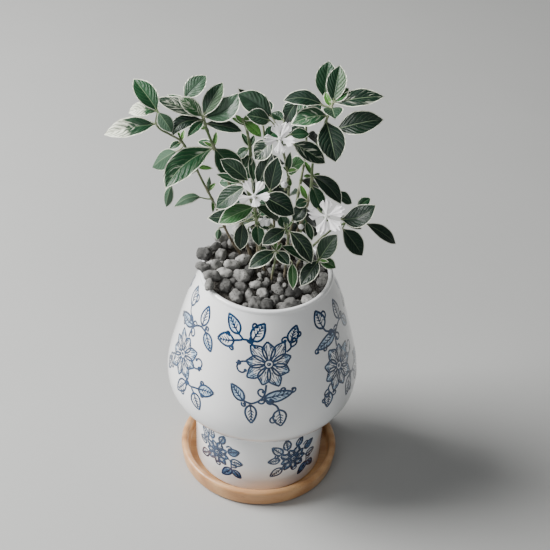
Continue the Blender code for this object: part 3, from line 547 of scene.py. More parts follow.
def drawn_leaf(foot, tip, wide):
    """A pointed leaf: outline, midrib, veins, and the wash inside it."""
    run = tip - foot
    side = Vector((-run.y, run.x)).normalized() * (wide / 2)
    edges = []
    for sign in (1, -1):
        edge = [foot, foot + run * 0.16 + side * (0.72 * sign), foot + run * 0.42 + side * sign,
                foot + run * 0.74 + side * (0.66 * sign), tip]
        edges.append(curved(edge, 5))
    strokes = [ribbon(edge, LINE) for edge in edges]
    strokes.append(ribbon(curved([foot, foot + run * 0.45 + side * 0.1, foot + run * 0.86], 4), LINE * 0.9, 0.5))
    for k in range(1, 5):
        root = foot + run * (0.12 + 0.15 * k)
        for sign in (1, -1):
            end = root + run * 0.14 + side * (0.62 * sign * (1.05 - 0.13 * k))
            strokes.append(ribbon([root, root.lerp(end, 0.5), end], HAIR, 0.4))
    wash = edges[0] + list(reversed(edges[1]))[1:-1]
    return strokes, [(wash, [tuple(range(len(wash)))])]


def drawn_flower(centre, reach, petals, lean):
    """A flower of pointed petals round a button with a small curl in it."""
    strokes, washes = [], []
    heart = reach * 0.17
    for k in range(petals):
        angle = 2 * pi * k / petals + lean
        out = Vector((cos(angle), sin(angle)))
        over = Vector((-out.y, out.x))
        half = reach * 0.27
        length = reach * (1.04 if k % 2 else 0.9)
        tip = centre + out * length + over * (0.25 * half)
        edges = []
        for sign in (1, -1):
            edge = [centre + out * heart + over * (0.3 * half * sign),
                    centre + out * length * 0.42 + over * (0.78 * half * sign),
                    centre + out * length * 0.68 + over * (0.92 * half * sign + 0.05 * half),
                    centre + out * length * 0.88 + over * (0.42 * half * sign + 0.2 * half), tip]
            edges.append(curved(edge, 4))
        strokes += [ribbon(edge, LINE * 0.9) for edge in edges]
        strokes.append(ribbon([centre + out * length * 0.36, centre + out * length * 0.62], HAIR, 0.6))
        for shift in (-0.62, -0.32, 0.32, 0.62):
            high = centre + out * length * (0.92 - 0.2 * abs(shift)) + over * (half * (shift * 0.7 + 0.15))
            low = centre + out * length * (0.52 + 0.14 * abs(shift)) + over * (half * shift)
            strokes.append(ribbon([high, high.lerp(low, 0.5), low], HAIR, 0.6))
        cap = [p for p in edges[0] if (p - centre).length > reach * 0.66]
        cap += [p for p in reversed(edges[1]) if (p - centre).length > reach * 0.66][1:]
        washes.append((cap, [tuple(range(len(cap)))]))
    ring = [centre + Vector((cos(a), sin(a))) * heart for a in (2 * pi * i / 20 for i in range(21))]
    swirl = [centre + Vector((cos(a), sin(a))) * (heart * 0.12 * (1 + i * 0.22))
             for i, a in enumerate(radians(40 * i + 200) for i in range(15))]
    strokes += [ribbon(ring, LINE * 0.7), ribbon(swirl, HAIR, 0.3)]
    return strokes, washes


# %% One spray
SPRAY_MIDDLE = 86.0


def body_spray():
    """The spray on the body, in millimetres along the wall and above the table."""
    strokes, washes = drawn_flower(Vector((1.6, 92.3)), 11.6, 9, 0.2)
    leaves = [((-12.6, 104.6), (-17.8, 111.8), 5.6), ((-14.8, 101.2), (-23.4, 99.4), 5.8),
              ((-6.2, 102.6), (-0.8, 110.6), 5.8), ((11.2, 101.4), (13.8, 108.6), 5.2),
              ((-9.4, 73.4), (-15.4, 80.6), 4.8), ((-6.2, 71.8), (-5.4, 62.2), 5.2),
              ((0.0, 75.4), (13.6, 77.8), 5.2), ((7.0, 69.6), (8.4, 60.6), 6.2)]
    for foot, tip, wide in leaves:
        more, wash = drawn_leaf(Vector(foot), Vector(tip), wide)
        strokes += more
        washes += wash
    lines = [flat((-12.6, 104.6), (-10.8, 102.6), (-14.8, 101.2)), flat((-10.8, 102.6), (-7.4, 102.4), (-4.6, 99.2)),
             flat((-7.4, 102.4), (-6.2, 102.6)), flat((9.6, 97.6), (11.4, 99.2), (11.2, 101.4)),
             flat((0.8, 82.2), (0.4, 78.4), (-1.0, 75.2), (-5.4, 72.6), (-9.4, 73.4)),
             flat((-1.0, 75.2), (2.0, 73.6), (5.6, 71.8), (7.0, 69.6))]
    strokes += [ribbon(curved(line, 5), LINE) for line in lines]
    for start, heading, size, side in [
            ((-8.8, 102.6), -60, 2.6, 1), ((-17.0, 98.4), -100, 2.0, 1), ((-18.6, 102.4), 110, 1.8, -1),
            ((-5.2, 107.2), 150, 2.6, -1), ((-7.4, 92.6), 165, 6.0, 1), ((-13.4, 91.6), -60, 1.8, 1),
            ((9.6, 104.0), 150, 2.4, 1), ((14.0, 105.4), 20, 2.2, -1), ((11.6, 99.6), 0, 3.4, 1),
            ((-0.8, 76.2), 165, 3.4, -1), ((-3.0, 74.0), -60, 2.8, 1), ((1.0, 74.2), -70, 3.0, 1),
            ((7.6, 78.0), 110, 2.4, -1), ((12.2, 77.8), -30, 2.4, 1), ((-10.2, 72.6), -110, 2.0, 1),
            ((5.4, 66.4), 190, 3.4, 1)]:
        strokes += curl(Vector(start), heading, size, side)
    return strokes, washes


def foot_spray():
    """The smaller spray on the foot."""
    strokes, washes = drawn_flower(Vector((0.0, 22.5)), 7.6, 9, 0.5)
    leaves = [((-6.2, 27.4), (-11.6, 33.0), 4.2), ((-3.4, 29.4), (-4.6, 36.4), 4.0), ((6.6, 25.6), (12.6, 28.4), 4.6),
              ((8.0, 20.4), (14.4, 20.4), 4.4), ((8.6, 15.6), (3.4, 9.6), 4.2), ((-6.0, 18.0), (-11.8, 13.4), 4.4),
              ((-7.4, 24.0), (-13.4, 23.4), 4.0), ((9.4, 15.2), (13.6, 10.8), 3.6), ((2.0, 29.6), (4.4, 35.2), 3.6)]
    for foot, tip, wide in leaves:
        more, wash = drawn_leaf(Vector(foot), Vector(tip), wide)
        strokes += more
        washes += wash
    lines = [flat((-5.0, 27.0), (-6.6, 27.4)), flat((-3.6, 28.6), (-4.0, 29.8)), flat((6.0, 21.6), (8.0, 20.4), (8.6, 15.6)),
             flat((-5.2, 20.0), (-6.0, 18.0))]
    strokes += [ribbon(curved(line, 4), LINE * 0.8) for line in lines]
    for start, heading, size, side in [((5.6, 28.6), 70, 2.6, -1), ((-1.0, 16.8), -90, 3.0, 1),
                                       ((9.0, 17.0), -20, 2.4, 1), ((-8.4, 24.8), 170, 2.4, -1)]:
        strokes += curl(Vector(start), heading, size, side)
    return strokes, washes


# %% Paint laid on the wall
def wall_radius(height):
    """Radius of the pot's outside at a height."""
    wall = [(MOUTH_RADIUS, POT_TOP)] + body_outline(0.0, 6) + [(FOOT_RADIUS, FOOT_TOP - MM), (FOOT_RADIUS, 30 * MM),
                                                             (FOOT_RADIUS - 0.4 * MM, FOOT_BOTTOM + 2.0 * MM)]
    for (upper_r, upper_z), (lower_r, lower_z) in zip(wall, wall[1:]):
        if lower_z <= height <= upper_z:
            share = (height - lower_z) / (upper_z - lower_z)
            return lower_r + (upper_r - lower_r) * share
    return FOOT_RADIUS


def on_wall(point, lift):
    """A drawn point, in millimetres, laid on the wall in front of the pot."""
    height = point.y * MM
    radius = wall_radius(height)
    angle = point.x * MM / radius
    return Vector(((radius + lift) * sin(angle), -(radius + lift) * cos(angle), height))


def laid_mesh(name, shapes, lift, middle=None):
    """One mesh of drawn shapes on the wall; turned upside down about a height if one is given."""
    bm = bmesh.new()
    for points, faces in shapes:
        if middle:
            points = [Vector((-p.x, 2 * middle - p.y)) for p in points]
        verts = [bm.verts.new(on_wall(p, lift)) for p in points]
        for face in faces:
            bm.faces.new([verts[i] for i in face])
    bmesh.ops.triangulate(bm, faces=bm.faces)
    for face in bm.faces:
        face.normal_update()
        middle_point = face.calc_center_median()
        if face.normal.dot(Vector((middle_point.x, middle_point.y, 0))) < 0:
            face.normal_flip()
    mesh = bpy.data.meshes.new(name)
    bm.to_mesh(mesh)
    bm.free()
    return mesh


def round_the_pot():
    """Recipe: copies of a painted mesh, turned about the pot's axis by each point's angle."""
    net = Recipe("round_the_pot", Spray="Object", Paint="Material")
    spray = net.node("GeometryNodeObjectInfo", {"transform_space": "ORIGINAL"}, {"Object": net.given("Spray")}, "Geometry")
    turn = net.node("FunctionNodeEulerToRotation", {}, {0: net.vector(0.0, 0.0, net.attribute("turn"))})
    copies = net.node("GeometryNodeInstanceOnPoints", {}, {"Points": net.given("Geometry"), "Instance": spray,
                                                           "Rotation": turn})
    whole = net.node("GeometryNodeRealizeInstances", {}, {0: copies})
    net.finish(net.painted(whole, net.given("Paint")))
    return net


def paint_finish(name, deep, pale):
    paint = Finish(name, Roughness=0.14, Coat_Weight=0.5, Coat_Roughness=0.04)
    cloud = paint.noise(paint.place(), 420, 2.0)
    paint.set("Base Color", paint.mix(cloud.smooth(0.3, 0.7), deep, pale))
    return paint.material


def paint_round(name, drawing, lift, angles, finish, middle=None):
    helper = new_object("spray", laid_mesh("spray", drawing, lift, middle))
    points = [Vector() for _ in angles]
    painted = ring_recipe.grow(name, seedbed(name, points, turn=[radians(a) for a in angles]),
                               Spray=helper, Paint=finish)
    bpy.data.objects.remove(helper, do_unlink=True)
    return painted


def join(name, pieces):
    """Several mesh objects made into one."""
    with bpy.context.temp_override(active_object=pieces[0], selected_editable_objects=pieces):
        bpy.ops.object.join()
    pieces[0].name = name
    return pieces[0]


def make_ornament():
    cobalt = paint_finish("cobalt_lines", (0.003, 0.018, 0.058), (0.008, 0.046, 0.125))
    wash = paint_finish("cobalt_wash", (0.29, 0.44, 0.62), (0.55, 0.68, 0.80))
    strong = paint_finish("cobalt_strong", (0.05, 0.13, 0.27), (0.20, 0.34, 0.50))
    upright, turned_over, low = (2, 122, 242), (60, 180, 300), (33, 105, 177, 249, 321)
    pieces = []
    for spray, angles, middle, fill in ((body_spray(), upright, None, wash), (foot_spray(), low, None, strong),
                                        (body_spray(), turned_over, SPRAY_MIDDLE, wash)):
        pieces.append(paint_round("lines", spray[0], PAINT_LIFT, angles, cobalt, middle))
        pieces.append(paint_round("wash", spray[1], WASH_LIFT, angles, fill, middle))
    ornament = join("painted_ornament", pieces)
    hand_over(ornament, "glazed_ceramic")


ring_recipe = round_the_pot()
make_ornament()

# %% [markdown]
# ## Layout of the plant
# Each stem is a run of picture points with a depth; each leaf is a tip, a width, and sometimes a foot or
# a middle that it passes through. `look` names how a leaf is coloured: the same plant has dark, bright,
# striped and nearly cream leaves.

# %% The plant's tables
Leaf = namedtuple("Leaf", "tip wide look at deep foot via", defaults=("plain",) + (None,) * 4)
Stem = namedtuple("Stem", "name points thick thin leaves")
Bloom = namedtuple("Bloom", "name centre depth petals wide teeth")
Bud = namedtuple("Bud", "name centre depth tip size")

STEMS = [
    Stem("leafy_stem_left",
         [(241, 257, 13), (233, 243, 12), (226, 230, 11), (219, 214, 10), (212, 199, 9), (204, 184, 9),
          (197, 170, 8), (190, 156, 7), (182, 142, 5), (170, 134.5, 3), (160, 129, 1), (156, 122, -1),
          (158, 112, -2)], 0.95, 0.65,
         [Leaf((133, 77.5), 19, "mid"),
          Leaf((128, 113), 15, "cream", via=(142, 109)),
          Leaf((172, 133), 14, "under", deep=-6),
          Leaf((104, 135), 19.5, "cream tip", at=(156, 124)),
          Leaf((169, 149), 8, at=(182, 142)),
          Leaf((153, 168), 19, "under", at=(184, 146), foot=(177, 151), deep=4),
          Leaf((177, 131), 4, "young", at=(182, 142)),
          Leaf((184.5, 129), 5, "young", at=(182, 142)),
          Leaf((213, 168.5), 5, "young", at=(197, 167)),
          Leaf((166.5, 207), 10, "under", at=(197, 170), foot=(172, 184), deep=5),
          Leaf((209, 176), 5, "under", at=(208, 191)),
          Leaf((216, 182.5), 5, "young", at=(208, 191)),
          Leaf((174, 207.5), 11, "under", at=(212, 199), foot=(201, 197.5), via=(188, 198.5)),
          Leaf((213, 213), 4, "young", at=(211, 200)),
          Leaf((217.5, 240), 7, "under", at=(224, 227), foot=(219, 228))]),
    Stem("leafy_stem_upper_left",
         [(252, 262, 12), (244, 235, 12), (236, 205, 11), (225, 172, 10), (214, 148, 7), (207, 130, 5),
          (203, 117, 4)], 1.25, 0.9,
         [Leaf((155, 97.5), 16, "striped tip"),
          Leaf((178, 97), 15, "bright striped", deep=2),
          Leaf((206.5, 74.5), 18, "sage", foot=(184, 99), deep=10),
          Leaf((223, 81), 16, "half pale"),
          Leaf((238, 92.5), 22, "sage", via=(225, 110), deep=6),
          Leaf((167, 93.5), 11, deep=9),
          Leaf((173, 136), 14, "dark", at=(203, 121), via=(182, 123), deep=-5),
          Leaf((243, 131), 13, "dark", at=(205, 124)),
          Leaf((187, 137), 9, at=(204, 122), deep=-9),
          Leaf((193.5, 125.5), 6, "young", at=(207, 131), deep=5),
          Leaf((216.5, 131), 5, "young", at=(213, 147)),
          Leaf((165, 188.5), 25, "patched", at=(212, 148), via=(184, 164.5), deep=-13),
          Leaf((241, 181), 25, "bright edge", at=(213, 149), deep=-5),
          Leaf((198, 141), 9, at=(213, 149), deep=8),
          Leaf((203, 141.5), 4, "young", at=(212, 147))]),
    Stem("leafy_stem_centre",
         [(258, 264, 10), (257, 235, 12), (255, 205, 12), (252, 175, 11), (250, 148, 9), (246, 126, 7),
          (243, 119, 6)], 1.3, 0.9,
         [Leaf((235, 114.5), 5, "young", at=(246, 124)),
          Leaf((231, 117.5), 5, "young", at=(247, 128)),
          Leaf((262, 137), 11, "young", at=(245, 121)),
          Leaf((251, 118), 6, "young"),
          Leaf((241, 132), 6, at=(250, 148)),
          Leaf((254.5, 134.5), 6, at=(250, 149)),
          Leaf((236, 158), 11, at=(250, 150)),
          Leaf((243, 168), 11, at=(251, 157)),
          Leaf((254, 183), 8, at=(251, 157)),
           Leaf((249, 172), 8, at=(253, 187), deep=-5)]),
    Stem("leafy_stem_middle",
         [(264, 267, 4), (260, 248, 1), (257, 224, -3), (255, 208, -6), (254, 198, -8)], 1.1, 0.8,
         [Leaf((214.5, 208.5), 19, "dark painted sheen", foot=(246, 186), deep=-2),
          Leaf((220, 159.5), 17, "dark painted sheen", foot=(248, 181), deep=5),
         Leaf((216, 174), 8, foot=(242, 184), deep=6),
          Leaf((272, 152), 16, "dark", foot=(258, 186), deep=12),
          Leaf((278, 156.5), 17, "dark", foot=(270, 191), deep=1),
          Leaf((295, 214.5), 23, "pale rib", foot=(262, 196), deep=-5),
          Leaf((217.5, 223), 18, "bright", at=(255, 207), deep=-6),
          Leaf((207, 218), 17, "edged dark", at=(256, 213), foot=(247, 220), deep=2),
          Leaf((281, 221), 13, at=(255, 207), deep=2),
          Leaf((259, 246), 13, at=(257, 224), deep=-8),
          Leaf((270, 229), 7, at=(257, 224)),
          Leaf((240, 250), 14, "dark", at=(256, 219), foot=(243, 222), deep=-4),
          Leaf((247, 243), 5, at=(257, 226), foot=(249, 227)),
          Leaf((267, 249), 6, at=(259, 248)),
          Leaf((251, 210), 3.5, "young", at=(257, 222)),
          Leaf((261, 212), 3.5, "young", at=(257, 223))]),
    Stem("leafy_stem_top",
         [(276, 264, 9), (280, 240, 9), (287, 205, 7), (289, 182, 4), (287, 168, 2), (283, 150, 1),
          (280, 130, 1)], 1.15, 0.8,
         [Leaf((237.5, 93), 23, "sunken veins", foot=(272, 117), deep=8),
          Leaf((246, 115), 17, "dark painted sheen", foot=(271, 121), deep=-4),
           Leaf((271, 112), 11, foot=(284, 121), deep=8),
          Leaf((310, 134), 12, at=(281, 138), foot=(289, 135)),
          Leaf((325.5, 163.5), 19, "striped", at=(283, 147), foot=(292, 143), deep=-5),
          Leaf((254, 160), 19, "striped", at=(281, 140), foot=(273, 140), deep=-5),
          Leaf((290.5, 151.5), 7, at=(287, 170), deep=-2),
          Leaf((305, 162), 19, "bright", at=(288, 172), deep=-5),
          Leaf((290.5, 187), 5, "young", at=(288, 175), deep=-5),
          Leaf((279, 187), 6, "young", at=(289, 190), deep=-6),
          Leaf((298, 170), 5, "young", at=(288, 172), deep=-7),
          Leaf((283, 167), 5, "young", at=(288, 173), deep=-6)]),
    Stem("leafy_stem_right",
         [(286, 263, 10), (292, 245, 10), (300, 225, 8), (307, 205, 5), (311, 188, 3), (312, 176, 2),
          (313, 162, 2), (318, 142, 2), (326, 121, 3), (333, 103, 4)], 1.15, 0.7,
         [Leaf((329, 60), 20, foot=(324, 98)),
          Leaf((340, 64.5), 18, "half pale"),
          Leaf((349, 88), 11, "bright", at=(333, 104)),
          Leaf((325, 91.5), 7, "young", at=(332, 106), deep=-3),
          # Its light streaks are painted sheen
          Leaf((384.5, 96.5), 18, "striped", at=(333, 105)),
          Leaf((283, 101), 16, "dark", at=(331, 107), foot=(323, 105), via=(303, 98)),
          Leaf((335, 119), 18, "dark painted sheen", at=(332, 106), deep=-14),
          Leaf((284, 124), 16, "dark", at=(331, 108), foot=(299, 99), deep=2),
          Leaf((291, 125), 19, "patched", at=(327, 118), via=(310, 117)),
          Leaf((384, 119.5), 24, "pale rib", at=(326, 121), foot=(336, 129.5), deep=0),
          Leaf((336.5, 162.5), 25, "pale rib", at=(326, 122), deep=-13),
          Leaf((304, 160), 5, "young", at=(312, 175)),
          Leaf((342, 204.5), 16, "dark", at=(312, 176), via=(329, 187), deep=-6),
          Leaf((322, 212), 15, at=(311, 184), deep=-5),
          Leaf((352, 203.5), 12, at=(311, 181), foot=(335, 193), deep=3),
          Leaf((303, 176), 4, "young", at=(312, 176)),
          Leaf((320, 173), 5, "young", at=(312, 178)),
          Leaf((300, 184), 6, "young", at=(308, 200)),
          Leaf((295, 206), 11, at=(308, 201)),
          Leaf((293, 221), 15, "dark", at=(307, 205), deep=-3),
          Leaf((312, 241), 8, at=(303, 217), foot=(306, 221), deep=-8)]),
    Stem("leafy_stem_low_right",
         [(298, 264, 7), (312, 247, 7), (330, 231, 3), (347, 222, -1)], 1.0, 0.7,
         [Leaf((374.5, 204.5), 22, "dark", foot=(341, 219), via=(359.5, 216.5), deep=-2),
          Leaf((370.5, 198), 10, foot=(357, 208), deep=8),
          Leaf((396.5, 244), 14, "dark", foot=(366, 223.5), deep=4),
          Leaf((363, 256), 19, "dark", at=(346, 223), foot=(342.5, 228.5), deep=-6),
          Leaf((362, 229), 7, at=(346, 223), deep=-2),
          Leaf((340, 215), 6, "dark", deep=4)]),
    Stem("leafy_stem_front_right",
         [(302, 273, 1), (311, 268, -2), (319, 260, -6)], 0.9, 0.75,
         [Leaf((337, 234), 19, "dark painted sheen", at=(319, 259), deep=4),
          Leaf((336, 268), 12, "bright"),
          Leaf((321, 240), 9, at=(317, 261), deep=6),
          Leaf((300.5, 286), 16, "dark", deep=-10),
          Leaf((280.5, 246), 12, at=(316, 263), deep=-3),
          Leaf((329, 262), 4, "young", deep=-4)]),
    Stem("leafy_stem_front_middle",
         [(285, 271, 1), (288, 252, -2), (288, 238, -5), (286, 229, -7)], 0.9, 0.7,
         [Leaf((262, 245), 15, "edged dark", deep=-6),
          Leaf((281, 215), 12),
          Leaf((312.5, 264), 17, "pale rib", foot=(289, 231), via=(302.5, 245.5), deep=-11),
          Leaf((293, 290), 10, "bright", at=(287, 256), foot=(292, 262), deep=-14),
          Leaf((293, 221), 5, "young"),
          Leaf((285, 220), 4, "young")]),
    Stem("leafy_shoot_front",
         [(272, 276, -2), (275, 262, -4), (276, 251, -7)], 0.9, 0.65,
         [Leaf((248, 268), 15, "edged dark", deep=-7),
          Leaf((289.5, 265.5), 12, "edged dark", deep=-7),
          Leaf((276, 240), 4, "young"),
          Leaf((282, 243), 4, "young"),
          Leaf((271, 245), 4, "young")]),
    Stem("leafy_stem_back_left",
         [(261, 250, 20), (257, 222, 26), (247, 190, 30), (236, 166, 31)], 1.0, 0.7,
         [Leaf((222, 156), 17, "dark", deep=6),
          Leaf((246, 152), 17, "dark", deep=12),
          Leaf((218, 182), 17, at=(243, 182), deep=3),
          Leaf((254, 166), 16, at=(243, 182), deep=14),
          Leaf((230, 200), 17, "dark", at=(249, 197), deep=2),
          Leaf((270, 186), 17, at=(249, 197), deep=14),
          Leaf((238, 222), 16, "dark", at=(256, 218), deep=5),
          Leaf((274, 212), 16, at=(256, 218), deep=12)]),
    Stem("leafy_stem_back_middle",
         [(273, 250, 20), (274, 215, 26), (270, 180, 27), (266, 148, 26), (262, 118, 24)], 1.15, 0.75,
         [Leaf((238, 88), 13, "dark", deep=0),
          Leaf((266, 99), 17, "dark", deep=14),
          Leaf((259, 146), 15, "dark", at=(265, 140), deep=12),
          Leaf((281, 127), 16, at=(265, 140), deep=9),
          Leaf((259, 176), 16, "dark", at=(268, 164), deep=10),
          Leaf((283, 160), 16, at=(268, 164), deep=12),
          Leaf((288, 186), 16, "dark", at=(272, 196), deep=13),
          Leaf((260, 216), 16, at=(272, 196), deep=8)]),
    Stem("leafy_stem_back_right",
         [(286, 250, 20), (294, 215, 25), (301, 180, 25), (306, 150, 23), (306, 120, 21)], 1.15, 0.75,
         [Leaf((291, 101), 17, deep=10),
          Leaf((318, 100), 17, "dark", deep=12),
          Leaf((288, 128), 15, "dark", at=(306, 136), deep=10),
          Leaf((322, 146), 16, "dark", at=(306, 136), deep=8),
          Leaf((322, 196), 16, "dark", at=(301, 182), deep=10),
          Leaf((286, 200), 16, at=(299, 192), deep=12),
          Leaf((318, 226), 16, "dark", at=(295, 212), deep=8),
          Leaf((280, 226), 16, at=(295, 212), deep=12)]),
    Stem("leafy_shoot_back",
         [(292, 250, 20), (296, 240, 22), (300, 230, 29)], 0.9, 0.7,
         [Leaf((282, 230), 16, "dark", deep=8),
          Leaf((306, 214), 15, deep=14),
          Leaf((318, 232), 16, "dark", deep=5),
          Leaf((291, 240), 14, deep=8)]),
]

BLOOMS = [
    Bloom("bloom_top", (280, 138.5), -5, [(275, 123.5), (289.5, 122.5), (295, 143), (280, 155), (263, 141)],
          11.5, 1.0),
    Bloom("bloom_middle", (254, 196), -14, [(245, 181.5), (262.5, 182), (270, 197), (256.5, 207.5), (238, 200.5)],
          9, 0.35),
    Bloom("bloom_right", (326.5, 216), -14, [(326, 199), (345, 209), (340, 231), (320, 235.5), (307.5, 213)],
          12.5, 1.0),
]
BUDS = [
    Bud("bud_left", (270, 225), -8, (265, 221), 2.6),
    Bud("bud_middle", (285, 188), -3, (284, 182), 1.9),
    Bud("bud_right", (301, 230), -3, (301, 224), 1.6),
]
TWIG_STEMS = {"bloom_top": "leafy_stem_top", "bloom_middle": "leafy_stem_middle", "bloom_right": "leafy_stem_right",
              "bud_left": "leafy_stem_middle", "bud_middle": "leafy_stem_top", "bud_right": "leafy_stem_right"}

# How a leaf is coloured: green from dark 0 to young 1, cream margin in mm, a paler side as painted light, cream tip,
# cream streaks, veins from sunken with painted shade -1 to pale 1, and a share of grey sage, partly painted sheen
Look = namedtuple("Look", "green margin side tip streaks veins sage under", defaults=(0.3, 0.5, 0, 0, 0, 0.25, 0.0, 0))
LOOKS = {
    "plain": Look(),
    "dark": Look(green=0.06, margin=0.5),
    "edged dark": Look(green=0.1, margin=0.62, veins=0.3),
    "mid": Look(green=0.42, margin=0.72, veins=0.5),
    "cream": Look(green=0.55, margin=0.9, tip=0.7, streaks=0.35, sage=0.3, veins=0.3),
    "cream tip": Look(green=0.2, margin=0.85, tip=0.52, streaks=0.2),
    "under": Look(green=0.3, margin=0.55, sage=0.3, under=1),
    "striped tip": Look(green=0.1, margin=0.62, streaks=0.3, veins=0.4),
    # Cream streaks: partly the leaf's own; on the leaf at (384.5, 96.5) they are painted sheen
    "striped": Look(green=0.06, margin=0.6, streaks=0.24, veins=0.4),
    "bright": Look(green=0.66, margin=0.6, veins=0.4),
    "bright striped": Look(green=0.62, margin=0.75, tip=0.2, streaks=0.42),
    "young": Look(green=0.95, margin=0.4, veins=0.1),
    # The sage and sunken veins looks darken their veins: painted shade in the sunken veins
    "sage": Look(green=0.3, margin=0.62, sage=0.6, veins=-0.9),
    # half pale, and patched a little: one half of the blade painted paler, as painted light
    "half pale": Look(green=0.2, margin=0.55, side=0.75),
    "patched": Look(green=0.36, margin=0.8, streaks=0.16, side=-0.12, veins=0.6),
    "bright edge": Look(green=0.3, margin=0.7, veins=0.4),
    # In this look the share of grey sage is painted blue-grey sheen on a dark leaf
    "dark painted sheen": Look(green=0.15, margin=0.55, sage=0.22, veins=0.5),
    "pale rib": Look(green=0.05, margin=0.7, veins=0.6),
    "sunken veins": Look(green=0.14, margin=0.6, sage=0.3, veins=-1),
}
print(sum(len(stem.leaves) for stem in STEMS), "leaves on", len(STEMS), "stems")

# %% [markdown]
# ## Where each leaf lies
# The solid leaves were moved a little in depth, or turned, until none crossed another stem's. So the
# same trials are made here, and the one whose corners lie on the solid's own corners is the leaf's place.
# A leaf's spine is a curve with one bend, and its blade follows that curve.

# %% Stems and leaf places
ROOT_DEPTH = 101.0 * MM
STEM_FEET_TOP = 131.0 * MM
BLADE_FOLD = radians(14)
BLADE_ARCH = 0.06
CHECK_STATIONS = ((0.28, 0.84), (0.66, 0.86))
VIEW_SHORTENING = 0.94
BACK_PER_PIXEL_UP = 0.3 * MM
DEPTH_SHIFTS = (0, 3, -3, 6, -6, 9, -9, 12, -12)
TURN_SHIFTS = (0, 25, -25)
TWIG_APPROACH = 2.2 * MM


def stem_axis(stem, count=None):
    """The stem's axis, from its root in the soil to its tip, and its radius at each point."""
    seen = [spot(point[:2], point[2] * MM) for point in stem.points]
    root = Vector((seen[0].x, seen[0].y, ROOT_DEPTH))
    path = curved([root, *seen], count or (1 if len(seen) > 5 else 2))
    last = len(path) - 1
    return path, [(stem.thick + (stem.thin - stem.thick) * i / last) * MM for i in range(last + 1)]


def nearest_seen(path, pixel):
    """The point of a stem's axis that is seen nearest to a pixel."""
    ray = sight(pixel).normalized()

    def miss(point):
        off = point - EYE
        return (off - ray * off.dot(ray)).length

    return min((a.lerp(b, k / 4) for a, b in zip(path, path[1:]) for k in range(5)), key=miss)


def nearest_to(path, place):
    return min((a.lerp(b, k / 4) for a, b in zip(path, path[1:]) for k in range(5)),
               key=lambda point: (point - place).length)


def picture_height(point):
    off = point - EYE
    return PICTURE_CENTRE - FOCAL_PIXELS * off.dot(UP) / off.dot(FORWARD)


def blade_pose(leaf, path, deeper, turned_by):
    """Where a blade lies: its node on the stem, foot, bend, tip, the way it faces and half its width."""
    node = nearest_seen(path, leaf.at) if leaf.at else path[-1]
    rise = picture_height(node) - leaf.tip[1]
    deep = leaf.deep * MM if leaf.deep is not None else rise * BACK_PER_PIXEL_UP
    deep += deeper * MM
    foot = spot(leaf.foot, node.y + 0.35 * deep) if leaf.foot else node
    tip = spot(leaf.tip, node.y + deep)
    run = tip - foot
    facing = ((EYE - foot).normalized() + Vector((0, 0, 1))).normalized()
    normal = (facing - run * (facing.dot(run) / run.length_squared)).normalized()
    normal = Matrix.Rotation(radians(turned_by), 3, run) @ normal
    if leaf.via:
        middle = spot(leaf.via, (foot.y + tip.y) / 2)
    else:
        middle = (foot + tip) / 2 + normal * (BLADE_ARCH * run.length)
    bend = middle * 2 - (foot + tip) / 2
    return node, foot, bend, tip, normal, leaf.wide * PIXEL_SIZE / 2 / VIEW_SHORTENING


def corner_miss(pose, corners):
    """How far a pose's tip and sides are from the corners of the solid leaves."""
    _, foot, bend, tip, normal, half = pose
    miss = corners.find(tip)[2] * 2
    for t, share in CHECK_STATIONS:
        centre = foot * (1 - t) ** 2 + bend * (2 * t * (1 - t)) + tip * t ** 2
        along = ((bend - foot) * (1 - t) + (tip - bend) * t).normalized()
        face = (normal - along * normal.dot(along)).normalized()
        side = along.cross(face)
        for sign in (1, -1):
            reach = half * share
            miss += corners.find(centre + side * (sign * reach * cos(BLADE_FOLD)) + face * (reach * sin(BLADE_FOLD)))[2]
    return miss


def settled_pose(leaf, path, corners):
    poses = [blade_pose(leaf, path, deeper, turned_by) for turned_by in TURN_SHIFTS for deeper in DEPTH_SHIFTS]
    return min(poses, key=lambda pose: corner_miss(pose, corners))


def corner_tree(node):
    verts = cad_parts[node].data.vertices
    tree = KDTree(len(verts))
    for i, vert in enumerate(verts):
        tree.insert(vert.co, i)
    tree.balance()
    return tree


poses = {}
for stem in STEMS:
    coarse, corners = stem_axis(stem)[0], corner_tree(stem.name)
    poses[stem.name] = [settled_pose(leaf, coarse, corners) for leaf in stem.leaves]
misses = [corner_miss(pose, corner_tree(name)) / MM for name, found in poses.items() for pose in found]
print("mean miss of a leaf's corners", round(sum(misses) / len(misses) / 6, 2), "mm, worst", round(max(misses) / 6, 2))

# %% [markdown]
# ## The recipe for a leafy stem
# A serissa's leaf is a small lance-shaped blade, folded along its midrib, with wavy edges. Every leaf is the
# same grid of points, so a recipe sets one grid on each leaf's point and bends it: along the spine by t, and
# across it by s. The points carry numbers for size, fold and colour. Stems, petioles and twigs are edges
# with a girth, which the recipe makes into tubes. The underside is the same sheet, turned over and set
# back by the leaf's thickness, which falls to nothing at the edge, so the two sheets close there.

# %% Leaf outline and bend
LEAF_OUTLINE = [(0.0, 0.05), (0.08, 0.25), (0.18, 0.57), (0.3, 0.85), (0.43, 0.99), (0.55, 1.0), (0.67, 0.90),
                (0.79, 0.68), (0.89, 0.40), (0.96, 0.15), (1.0, 0.0)]
LEAF_ROWS = 29
LEAF_COLUMNS = 15
LEAF_THICKNESS = 0.34 * MM
WELD = 0.004 * MM
TUBE_SIDES = 12
LEAF_NUMBERS = ("half", "seed", "fold", "curl", "ripple", *Look._fields)
LEAF_VECTORS = ("foot", "bend", "tip_point", "face")


